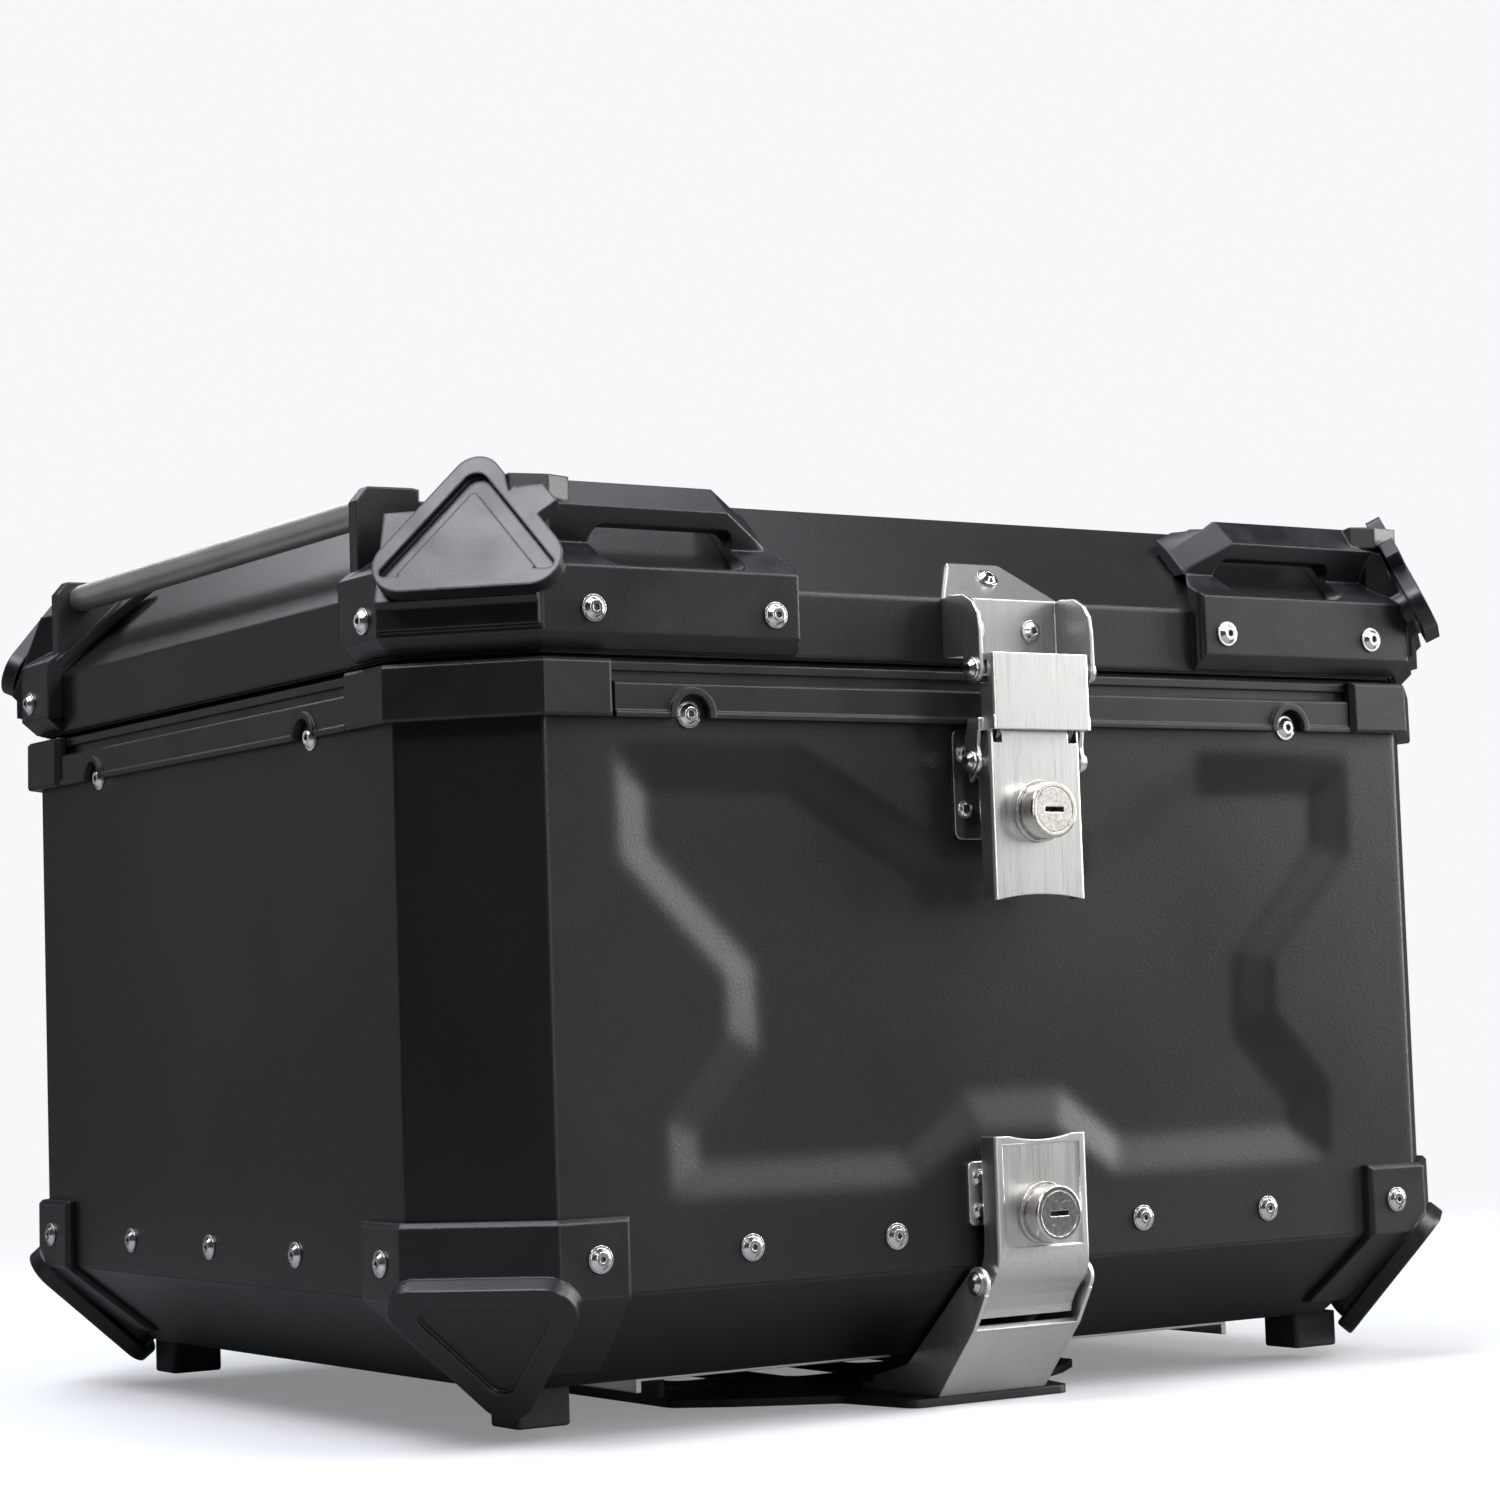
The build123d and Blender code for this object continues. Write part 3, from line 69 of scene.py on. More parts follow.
# ------------------------------------------------------------------ node helpers
class Tree:
    """Small helper for building a node material."""

    def __init__(self, name):
        self.mat = bpy.data.materials.new(name)
        self.mat.use_nodes = True
        self.nt = self.mat.node_tree
        self.nt.nodes.clear()
        self.out = self.nt.nodes.new("ShaderNodeOutputMaterial")
        self.bsdf = self.nt.nodes.new("ShaderNodeBsdfPrincipled")
        self.nt.links.new(self.bsdf.outputs[0], self.out.inputs[0])
        self.coord = self.nt.nodes.new("ShaderNodeTexCoord").outputs["Object"]

    def put(self, socket, value):
        if hasattr(value, "is_output"):
            self.nt.links.new(value, socket)
        elif isinstance(value, (tuple, list)) and len(value) == 3 and socket.type == "RGBA":
            socket.default_value = (*value, 1.0)
        else:
            socket.default_value = value

    def set(self, **kw):
        for k, v in kw.items():
            self.put(self.bsdf.inputs[k.replace("_", " ")], v)

    def mapping(self, scale=(1, 1, 1), rot=(0, 0, 0), loc=(0, 0, 0), src=None):
        n = self.nt.nodes.new("ShaderNodeMapping")
        n.inputs["Scale"].default_value = scale
        n.inputs["Rotation"].default_value = rot
        n.inputs["Location"].default_value = loc
        self.nt.links.new(src or self.coord, n.inputs["Vector"])
        return n.outputs[0]

    def noise(self, scale, detail=3.0, rough=0.55, src=None, distortion=0.0):
        n = self.nt.nodes.new("ShaderNodeTexNoise")
        n.inputs["Scale"].default_value = scale
        n.inputs["Detail"].default_value = detail
        n.inputs["Roughness"].default_value = rough
        n.inputs["Distortion"].default_value = distortion
        self.nt.links.new(src or self.coord, n.inputs["Vector"])
        return n.outputs["Fac"] if "Fac" in n.outputs else n.outputs[0]

    def voronoi(self, scale, src=None, feature="F1"):
        n = self.nt.nodes.new("ShaderNodeTexVoronoi")
        n.feature = feature
        n.inputs["Scale"].default_value = scale
        self.nt.links.new(src or self.coord, n.inputs["Vector"])
        return n.outputs["Distance"]

    def wave(self, scale, direction="X", distortion=0.0, src=None):
        n = self.nt.nodes.new("ShaderNodeTexWave")
        n.bands_direction = direction
        n.inputs["Scale"].default_value = scale
        n.inputs["Distortion"].default_value = distortion
        self.nt.links.new(src or self.coord, n.inputs["Vector"])
        return n.outputs["Fac"] if "Fac" in n.outputs else n.outputs[1]

    def math(self, op, a, b=0.0, c=0.0, clamp=False):
        n = self.nt.nodes.new("ShaderNodeMath")
        n.operation = op
        n.use_clamp = clamp
        self.put(n.inputs[0], a)
        self.put(n.inputs[1], b)
        self.put(n.inputs[2], c)
        return n.outputs[0]

    def remap(self, v, a, b, c, d, smooth=False):
        n = self.nt.nodes.new("ShaderNodeMapRange")
        n.interpolation_type = "SMOOTHSTEP" if smooth else "LINEAR"
        n.clamp = True
        self.put(n.inputs[0], v)
        for i, x in enumerate((a, b, c, d)):
            n.inputs[i + 1].default_value = x
        return n.outputs[0]

    def mix(self, f, a, b):
        n = self.nt.nodes.new("ShaderNodeMix")
        n.data_type = "RGBA"
        self.put(n.inputs[0], f)
        self.put(n.inputs[6], a)
        self.put(n.inputs[7], b)
        return n.outputs[2]

    def bevel(self, radius, samples=4):
        n = self.nt.nodes.new("ShaderNodeBevel")
        n.samples = samples
        n.inputs["Radius"].default_value = radius
        return n.outputs[0]

    def geo(self, name):
        n = self.nt.nodes.new("ShaderNodeNewGeometry")
        return n.outputs[name]

    def dot(self, a, b):
        n = self.nt.nodes.new("ShaderNodeVectorMath")
        n.operation = "DOT_PRODUCT"
        self.put(n.inputs[0], a)
        self.put(n.inputs[1], b)
        return n.outputs["Value"]

    def bump(self, height, strength, distance, normal=None):
        n = self.nt.nodes.new("ShaderNodeBump")
        n.inputs["Strength"].default_value = strength
        n.inputs["Distance"].default_value = distance
        self.put(n.inputs["Height"], height)
        if normal is not None:
            self.put(n.inputs["Normal"], normal)
        return n.outputs[0]

    def ao(self, distance, samples=4):
        n = self.nt.nodes.new("ShaderNodeAmbientOcclusion")
        n.samples = samples
        n.only_local = False
        n.inputs["Distance"].default_value = distance
        return n.outputs["AO"]

    def xyz(self, src=None):
        n = self.nt.nodes.new("ShaderNodeSeparateXYZ")
        self.nt.links.new(src or self.coord, n.inputs[0])
        return n.outputs

    def edges(self, bevel_normal, lo=0.0, hi=0.10):
        """1 on worn edges, 0 on flats."""
        d = self.dot(bevel_normal, self.geo("True Normal"))
        return self.remap(self.math("SUBTRACT", 1.0, d), lo, hi, 0.0, 1.0, True)


def powder_coat(name, colour, radius, rough=0.46, grain=1.0, wear=0.5):
    """Fine-texture black powder coat on sheet metal."""
    t = Tree(name)
    b = t.bevel(radius)
    edge = t.edges(b)
    patch = t.noise(9.0, 3.0, 0.6)
    fine = t.noise(1500.0, 2.0, 0.6)
    peel = t.noise(420.0, 2.0, 0.5)
    spot = t.voronoi(900.0)
    rub = t.noise(70.0, 4.0, 0.7)
    worn = t.math("MULTIPLY", edge, t.remap(rub, 0.42, 0.68, 0.15, 1.0), clamp=True)
    base = t.mix(patch, colour, tuple(c * 1.45 for c in colour))
    base = t.mix(t.math("MULTIPLY", fine, 0.35), base, tuple(c * 2.1 for c in colour))
    base = t.mix(t.math("MULTIPLY", worn, wear), base, (0.045, 0.045, 0.048))
    r = t.math("ADD", t.remap(patch, 0.3, 0.7, rough - 0.035, rough + 0.035), t.remap(fine, 0.3, 0.7, -0.03, 0.04))
    r = t.math("SUBTRACT", r, t.math("MULTIPLY", worn, 0.10))
    h = t.math("ADD", t.math("MULTIPLY", fine, 0.55), t.math("ADD", t.math("MULTIPLY", spot, 0.5), t.math("MULTIPLY", peel, 0.5)))
    t.set(Base_Color=base, Roughness=r, Metallic=0.0, IOR=1.5, Normal=t.bump(h, 0.16 * grain, 0.00035, b))
    return t.mat


def moulded(name, colour, radius=0.0009, rough=0.40, grain=1.0, wear=0.6):
    """Glass-filled black nylon with spark-eroded grain and polished edges."""
    t = Tree(name)
    b = t.bevel(radius, 6)
    edge = t.edges(b)
    cell = t.voronoi(1150.0)
    fine = t.noise(2100.0, 2.0, 0.6)
    flow = t.noise(22.0, 4.0, 0.6, distortion=1.2)
    scuff = t.noise(140.0, 5.0, 0.75)
    worn = t.math("MULTIPLY", edge, t.remap(scuff, 0.35, 0.7, 0.25, 1.0), clamp=True)
    # painted top light: upward-facing faces are painted lighter in noisy patches, standing in for light from above;
    # the same mask makes them rougher
    up = t.remap(t.dot(t.geo("Normal"), (0, 0, 1)), 0.2, 0.9, 0.0, 1.0)
    painted_top_light = t.math("MULTIPLY", up, t.remap(t.noise(38.0, 5.0, 0.7), 0.45, 0.75, 0.0, 0.35))
    base = t.mix(flow, colour, tuple(c * 1.35 for c in colour))
    base = t.mix(t.math("MULTIPLY", worn, wear), base, (0.075, 0.078, 0.086))
    base = t.mix(painted_top_light, base, (0.06, 0.062, 0.068))
    r = t.math("ADD", t.remap(flow, 0.3, 0.7, rough - 0.05, rough + 0.05), t.math("MULTIPLY", painted_top_light, 0.3))
    r = t.math("SUBTRACT", r, t.math("MULTIPLY", worn, 0.12))
    h = t.math("ADD", t.math("MULTIPLY", cell, 0.7), t.math("MULTIPLY", fine, 0.4))
    t.set(Base_Color=base, Roughness=r, IOR=1.5, Normal=t.bump(h, 0.14 * grain, 0.0003, b))
    return t.mat


def brushed(name, colour, radius=0.0007, rough=0.30, axis=2, dark=0.0):
    """Brushed stainless steel: fine streaks along one axis, bright worn edges."""
    t = Tree(name)
    b = t.bevel(radius, 6)
    edge = t.edges(b, 0.0, 0.16)
    sc = [1.0, 1.0, 1.0]
    sc[axis] = 0.012
    m = t.mapping(tuple(sc))
    streak = t.noise(2600.0, 4.0, 0.7, m)
    broad = t.noise(420.0, 3.0, 0.6, m)
    smear = t.noise(26.0, 3.0, 0.6)
    sc2 = [1.0, 1.0, 1.0]
    sc2[axis] = 0.05
    scratch = t.noise(900.0, 1.0, 0.4, t.mapping(tuple(sc2), rot=(0.06, 0.09, 0.03)))
    lines = t.remap(scratch, 0.66, 0.70, 0.0, 1.0)
    base = t.mix(t.remap(streak, 0.3, 0.7, 0.0, 1.0), tuple(c * 0.80 for c in colour), colour)
    base = t.mix(t.remap(smear, 0.4, 0.75, 0.0, 0.25), base, tuple(c * 0.72 for c in colour))
    base = t.mix(t.math("MULTIPLY", lines, 0.25), base, tuple(c * 0.55 for c in colour))
    base = t.mix(t.math("MULTIPLY", edge, 0.85), base, (0.93, 0.93, 0.92))
    r = t.math("ADD", t.remap(streak, 0.25, 0.75, rough - 0.05, rough + 0.10), t.remap(smear, 0.4, 0.8, 0.0, 0.07))
    r = t.math("SUBTRACT", r, t.math("MULTIPLY", edge, 0.10))
    h = t.math("ADD", t.math("MULTIPLY", streak, 0.7), t.math("MULTIPLY", broad, 0.5))
    t.set(Base_Color=base, Roughness=r, Metallic=1.0, Normal=t.bump(h, 0.16, 0.00012, b))
    return t.mat


def bright(name, colour, radius=0.0004, rough=0.16, turn=0.0):
    """Bright machined stainless or nickel, with painted shade darkening it down in the recesses."""
    t = Tree(name)
    b = t.bevel(radius, 6)
    edge = t.edges(b, 0.0, 0.2)
    pit = t.noise(700.0, 4.0, 0.65)
    smear = t.noise(90.0, 3.0, 0.6)
    # painted shade: an ambient-occlusion mask darkens the colour (and raises the roughness) down in sockets and
    # recesses, standing in for their shadow
    painted_shade_ao = t.remap(t.ao(0.0022, 6), 0.25, 0.85, 0.0, 1.0)
    base = t.mix(t.remap(smear, 0.35, 0.7, 0.0, 0.35), colour, tuple(c * 0.72 for c in colour))
    base = t.mix(t.math("MULTIPLY", edge, 0.7), base, (0.96, 0.96, 0.95))
    base = t.mix(painted_shade_ao, (0.06, 0.055, 0.05), base)
    r = t.math("ADD", t.remap(pit, 0.35, 0.7, rough - 0.05, rough + 0.08), t.remap(painted_shade_ao, 0.0, 1.0, 0.35, 0.0))
    t.set(Base_Color=base, Roughness=r, Metallic=1.0, Normal=t.bump(pit, 0.10, 0.00008, b))
    return t.mat


def rubber(name, colour, rough=0.72):
    t = Tree(name)
    b = t.bevel(0.0006)
    n = t.noise(650.0, 4.0, 0.65)
    bloom = t.noise(30.0, 4.0, 0.7)
    base = t.mix(t.remap(bloom, 0.4, 0.75, 0.0, 0.6), colour, (0.035, 0.035, 0.036))
    t.set(Base_Color=base, Roughness=t.remap(n, 0.3, 0.7, rough - 0.08, rough + 0.1),
          Normal=t.bump(t.math("ADD", n, t.voronoi(1400.0)), 0.25, 0.0003, b))
    return t.mat


def rail_metal(name):
    t = Tree(name)
    b = t.bevel(0.0006)
    m = t.mapping((1.0, 0.02, 1.0))
    draw = t.noise(1500.0, 4.0, 0.7, m)
    smear = t.noise(30.0, 3.0, 0.6)
    base = t.mix(draw, (0.40, 0.385, 0.36), (0.58, 0.565, 0.54))
    base = t.mix(t.remap(smear, 0.45, 0.75, 0.0, 0.4), base, (0.33, 0.32, 0.30))
    t.set(Base_Color=base, Metallic=0.85, Roughness=t.remap(draw, 0.3, 0.7, 0.34, 0.48), Normal=t.bump(draw, 0.15, 0.00012, b))
    return t.mat


def webbing(name):
    """Black polyester webbing: rows of warp cords crossed by the weft."""
    t = Tree(name)
    warp = t.wave(190.0, "Y")
    weft = t.wave(260.0, "Z", 1.0)
    fuzz = t.noise(3000.0, 3.0, 0.7)
    h = t.math("ADD", t.math("MULTIPLY", warp, 0.7), t.math("ADD", t.math("MULTIPLY", weft, 0.45), t.math("MULTIPLY", fuzz, 0.3)))
    base = t.mix(h, (0.008, 0.008, 0.009), (0.035, 0.035, 0.038))
    t.set(Base_Color=base, Roughness=0.85, Sheen_Weight=0.35, Sheen_Roughness=0.4, Normal=t.bump(h, 0.6, 0.0005))
    return t.mat


COAT = (0.0028, 0.0028, 0.0031)
M = {
    "coat_body": powder_coat("coat_body", COAT, 0.0008, 0.37),
    "coat_lid": powder_coat("coat_lid", COAT, 0.0026, 0.37),
    "coat_pan": powder_coat("coat_pan", COAT, 0.0026, 0.42),
    "coat_plate": powder_coat("coat_plate", (0.011, 0.011, 0.012), 0.0010, 0.42, 0.7, 0.7),
    "plastic_guard": moulded("plastic_guard", (0.0062, 0.0062, 0.0074), 0.0013, 0.34),
    "plastic_trim": moulded("plastic_trim", (0.0055, 0.0055, 0.0062), 0.0008, 0.38, 0.8, 0.5),
    "plastic_inner": moulded("plastic_inner", (0.010, 0.010, 0.011), 0.0006, 0.55, 1.0, 0.2),
    "steel_bright": brushed("steel_bright", (0.91, 0.905, 0.89), 0.0007, 0.28),
    "steel_tab": brushed("steel_tab", (0.56, 0.555, 0.545), 0.0007, 0.33),
    # painted shade: the latch keeper is the same brushed stainless, given a near-black copy because it sits in shadow
    # facing a dark surround
    "steel_shaded": brushed("steel_shaded", (0.16, 0.16, 0.165), 0.0006, 0.38),
    "steel_low": brushed("steel_low", (0.72, 0.715, 0.70), 0.0007, 0.33),
    "steel_bracket": brushed("steel_bracket", (0.90, 0.895, 0.88), 0.0007, 0.38),
    "steel_dock": brushed("steel_dock", (0.66, 0.66, 0.65), 0.0006, 0.30, 0),
    "fastener": bright("fastener", (0.80, 0.80, 0.79), 0.0004, 0.17),
    "nickel": bright("nickel", (0.74, 0.715, 0.675), 0.0005, 0.15),
    "nickel_low": bright("nickel_low", (0.60, 0.585, 0.565), 0.0005, 0.20),
    "rubber": rubber("rubber", (0.012, 0.012, 0.0125)),
    "rail": rail_metal("rail"),
    "webbing": webbing("webbing"),
}
RULES = {
    "bottom_pan": "coat_pan", "lid_shell": "coat_lid", "base_plate": "coat_plate",
    "rim_channel": "plastic_trim", "rim_strip_rear": "plastic_trim", "rim_strip_front": "plastic_trim",
    "rim_strip_left": "plastic_trim", "rim_strip_right": "plastic_trim",
    "rim_corners_rear": "plastic_trim", "rim_corners_front": "plastic_trim", "lid_rim": "plastic_inner",
    "feet": "rubber", "base_pads": "rubber",
    "latch_keeper": "steel_shaded", "release_keeper": "steel_low", "latch_lever": "steel_bright",
    "latch_link": "steel_bright", "release_lever": "steel_low", "release_bracket": "steel_bracket",
    "lid_latch_bracket": "steel_tab", "dock_plate": "steel_dock",
    "hinge_leaf_lower": "steel_dock", "hinge_leaf_upper": "steel_dock",
    "side_rail_left": "rail", "side_rail_right": "rail",
    "upper_lock_housing": "nickel", "upper_lock_plug": "nickel", "upper_lock_cam": "nickel",
    "lower_lock_housing": "nickel", "lower_lock_plug": "nickel_low", "lower_lock_cam": "nickel",
}
for name, o in NODES.items():
    key = RULES.get(name)
    if key is None:
        if name.startswith(("lower_guard_rear", "lower_guard_front", "lid_guard_rear", "lid_guard_front")):
            key = "plastic_guard"
        else:
            key = "fastener"
    o.data.materials.clear()
    o.data.materials.append(M[key])


# ---------------------------------------------------------------- mesh helpers
def outline(off, r=0.003, seg=4):
    """Rounded octagon in plan, anticlockwise from the rear-left end of the rear face."""
    w, d, c = W / 2 + off, D / 2 + off, CH
    cx = D / 2 - CH + off * (math.sqrt(2) - 1)
    cy = W / 2 - CH + off * (math.sqrt(2) - 1)
    pts = [(-cy, -d), (cy, -d), (w, -cx), (w, cx), (cy, d), (-cy, d), (-w, cx), (-w, -cx)]
    out = []
    n = len(pts)
    for i in range(n):
        p0, p, p1 = (Vector(pts[(i + k) % n]) for k in (-1, 0, 1))
        a, b = (p0 - p).normalized(), (p1 - p).normalized()
        t = r * math.tan((math.pi - a.angle(b)) / 2)
        s, e = p + a * t, p + b * t
        for k in range(seg + 1):
            u = k / seg
            q = (1 - u) ** 2 * s + 2 * u * (1 - u) * p + u * u * e
            out.append((q.x, q.y))
    return out


def mesh_object(name, verts, faces, material, smooth=True, sharp=None):
    me = bpy.data.meshes.new(name)
    me.from_pydata([tuple(v) for v in verts], [], faces)
    me.validate()
    me.update()
    o = bpy.data.objects.new(name, me)
    bpy.context.scene.collection.objects.link(o)
    me.materials.append(material)
    for p in me.polygons:
        p.use_smooth = smooth
    if sharp:
        m = o.modifiers.new("sharp_edges", "EDGE_SPLIT")
        m.split_angle = math.radians(sharp)
    return o


# --------------------------------------------------- body shell with pressed X
POUT = np.array([(-170, 241), (-93, 241), (-36.5, 209), (36.5, 209), (93, 241), (170, 241),
                 (169, 202), (127, 160), (127, 140), (153, 111.5), (152, 82.5), (45.6, 82.2), (17, 101),
                 (-17, 101), (-45.6, 82.2), (-152, 82.5), (-153, 111.5), (-127, 140), (-127, 160), (-169, 202)]) / 1000
PIN = np.array([(-154, 226.5), (-96, 226.5), (-40, 194.5), (40, 194.5), (96, 226.5), (154, 226.5),
                (153.5, 206), (111, 164), (110, 132), (136.6, 105.8), (136.5, 96), (51, 95.5), (22.6, 115.5),
                (-22.6, 115.5), (-51, 95.5), (-136.5, 96), (-136.6, 105.8), (-110, 132), (-111, 164), (-153.5, 206)]) / 1000
DEBOSS = 0.0042


def poly_distance(poly, p):
    """Unsigned distance to a polygon's boundary, and whether each point is inside it."""
    a, b = poly, np.roll(poly, -1, axis=0)
    best = np.full(len(p), 1e9)
    inside = np.zeros(len(p), bool)
    for s, e in zip(a, b):
        d = e - s
        t = np.clip(((p - s) @ d) / (d @ d), 0, 1)
        best = np.minimum(best, np.linalg.norm(p - (s + t[:, None] * d), axis=1))
        cross = (s[1] > p[:, 1]) != (e[1] > p[:, 1])
        with np.errstate(divide="ignore", invalid="ignore"):
            xi = s[0] + (p[:, 1] - s[1]) * d[0] / (d[1] if d[1] else 1e-12)
        inside ^= cross & (p[:, 0] < xi)
    return best, inside


def deboss(xs, zs):
    """Depth of the pressed pattern over the rear face, with softly rolled borders."""
    gx, gz = np.meshgrid(xs, zs, indexing="ij")
    p = np.c_[gx.ravel(), gz.ravel()]
    do, io = poly_distance(POUT, p)
    di, ii = poly_distance(PIN, p)
    t = np.where(~io, 0.0, np.where(ii, 1.0, do / np.maximum(do + di, 1e-9)))
    t = t.reshape(gx.shape)
    step = xs[1] - xs[0]
    k = np.exp(-0.5 * (np.arange(-4, 5) * step / 0.0020) ** 2)
    k /= k.sum()
    pad = np.pad(t, 4, mode="edge")
    pad = np.apply_along_axis(lambda v: np.convolve(v, k, "same"), 0, pad)
    pad = np.apply_along_axis(lambda v: np.convolve(v, k, "same"), 1, pad)
    return DEBOSS * pad[4:-4, 4:-4]


def shell_wall(off, z0, z1, step):
    ring = outline(off, 0.0032 + off)
    half = -ring[4][0]
    nx = int(round(2 * half / step))
    xs = np.linspace(-half, half, nx + 1)
    rear = [(x, -(D / 2 + off)) for x in xs]
    # ring starts with the arc into the rear face; the dense row takes the place of that straight
    plan = ring[:4] + rear + ring[6:]
    zs = np.linspace(z0, z1, int(round((z1 - z0) / step)) + 1)
    depth = deboss(xs, zs)
    verts = []
    for j, z in enumerate(zs):
        for i, (x, y) in enumerate(plan):
            k = i - 4
            dy = depth[k, j] if 0 <= k <= nx else 0.0
            verts.append((x, y + dy, z))
    n = len(plan)
    faces = []
    for j in range(len(zs) - 1):
        for i in range(n):
            a, b = j * n + i, j * n + (i + 1) % n
            faces.append((a, b, b + n, a + n))
    return verts, faces, n, len(zs)


vo, fo, no, zo = shell_wall(0.0, Z_CREASE, Z_WALL, 0.0020)
vi, fi, ni, zi = shell_wall(-T, Z_CREASE, Z_WALL, 0.0020)
verts = vo + vi
faces = list(fo)
base = len(vo)
faces += [tuple(base + k for k in reversed(f)) for f in fi]


def join_rings(a0, na, b0, nb, flip):
    """Ties two plan rings of different counts together by walking round by angle."""
    out, i, j = [], 0, 0
    la = [verts[a0 + k] for k in range(na)]
    lb = [verts[b0 + k] for k in range(nb)]

    def cum(l):
        s = [0.0]
        for k in range(len(l)):
            p, q = Vector(l[k][:2]), Vector(l[(k + 1) % len(l)][:2])
            s.append(s[-1] + (q - p).length)
        return [x / s[-1] for x in s]
    ca, cb = cum(la), cum(lb)
    while i < na or j < nb:
        if j >= nb or (i < na and ca[i + 1] <= cb[j + 1]):
            f = (a0 + i % na, a0 + (i + 1) % na, b0 + j % nb)
            i += 1
        else:
            f = (a0 + i % na, b0 + (j + 1) % nb, b0 + j % nb)
            j += 1
        out.append(tuple(reversed(f)) if flip else f)
    return out


faces += join_rings((zo - 1) * no, no, base + (zi - 1) * ni, ni, False)
faces += join_rings(0, no, base, ni, True)
shell = mesh_object("body_shell_pressed", verts, faces, M["coat_body"], True, 50)
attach(shell, "case")
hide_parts("body_shell")


# --------------------------------------------------------------- lid seal
def sweep_ring(name, profile, material, body, node, r=0.004):
    """Sweeps a closed profile of (offset, z) round the octagon."""
    rings = [outline(o, max(0.0012, r + o), 5) for o, _ in profile]
    n, m = len(rings[0]), len(profile)
    vs = []
    for i in range(n):
        for j, (_, z) in enumerate(profile):
            vs.append((rings[j][i][0], rings[j][i][1], z))
    fs = []
    for i in range(n):
        for j in range(m):
            a, b = i * m + j, ((i + 1) % n) * m + j
            a2, b2 = i * m + (j + 1) % m, ((i + 1) % n) * m + (j + 1) % m
            fs.append((a, b, b2, a2))
    o = mesh_object(name, vs, fs, material, True, 60)
    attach(o, body)
    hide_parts(node)
    return o


slo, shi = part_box("lid_seal")
sc = -0.0065
prof = [(sc + 0.0023, slo.z), (sc + 0.0023, slo.z + 0.0014)]
for k in range(0, 13):
    a = math.radians(-20 + 220 * k / 12)
    prof.append((sc + 0.00235 * math.cos(a), shi.z - 0.00235 + 0.00235 * math.sin(a)))
prof += [(sc - 0.0023, slo.z + 0.0014), (sc - 0.0023, slo.z)]
sweep_ring("lid_seal_bulb", [(a, b) for a, b in prof], M["rubber"], "case", "lid_seal", 0.0105)


# --------------------------------------------------------------- stay straps
def strap(sx):
    path = [(0.2296, 0.2580), (0.2296, 0.2480), (0.2293, 0.2300), (0.2288, 0.2180), (0.2262, 0.2105), (0.2225, 0.2125),
            (0.2206, 0.2200), (0.2202, 0.2400), (0.2202, 0.2580), (0.2202, 0.2700), (0.2206, 0.2760), (0.2250, 0.2800),
            (0.2290, 0.2840), (0.2296, 0.2910)]
    p = np.array(path)
    s = np.r_[0, np.cumsum(np.linalg.norm(np.diff(p, axis=0), axis=1))]
    dense = np.concatenate([np.linspace(0, s[8], 90, endpoint=False), np.linspace(s[8], s[11], 110, endpoint=False), np.linspace(s[11], s[-1], 24)])
    # Catmull-Rom through the points
    out = []
    for u in dense:
        k = min(max(int(np.searchsorted(s, u, "right")) - 1, 0), len(p) - 2)
        h = s[k + 1] - s[k]
        t = (u - s[k]) / h
        p0, p1, p2, p3 = p[max(k - 1, 0)], p[k], p[k + 1], p[min(k + 2, len(p) - 1)]
        m1, m2 = (p2 - p0) / 2, (p3 - p1) / 2
        out.append((2 * t**3 - 3 * t**2 + 1) * p1 + (t**3 - 2 * t**2 + t) * m1 + (-2 * t**3 + 3 * t**2) * p2 + (t**3 - t**2) * m2)
    out = np.array(out)
    tan = np.gradient(out, axis=0)
    tan /= np.linalg.norm(tan, axis=1)[:, None]
    nor = np.c_[-tan[:, 1], tan[:, 0]]
    y0, y1, th = 0.0625, 0.0835, 0.0006
    rows = []
    ys = np.linspace(y0, y1, 9)
    for c, nn in zip(out, nor):
        ring = []
        for side in (1, -1):
            for y in (ys if side == 1 else ys[::-1]):
                edge = 1 - abs((y - (y0 + y1) / 2) / ((y1 - y0) / 2)) ** 6 * 0.7
                q = c + nn * th * side * edge
                ring.append((sx * q[0], y, q[1]))
        rows.append(ring)
    m = len(rows[0])
    vs = [v for r_ in rows for v in r_]
    fs = []
    for i in range(len(rows) - 1):
        for j in range(m):
            a, b = i * m + j, i * m + (j + 1) % m
            f = (a, b, b + m, a + m)
            fs.append(f if sx > 0 else tuple(reversed(f)))
    fs.append(tuple(range(m)) if sx < 0 else tuple(reversed(range(m))))
    e = (len(rows) - 1) * m
    fs.append(tuple(e + j for j in range(m)) if sx > 0 else tuple(reversed([e + j for j in range(m)])))
    o = mesh_object("stay_strap_" + ("right" if sx > 0 else "left"), vs, fs, M["webbing"], True, 40)
    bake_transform(o)
    return o


straps = [strap(1), strap(-1)]
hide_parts("stay_straps")


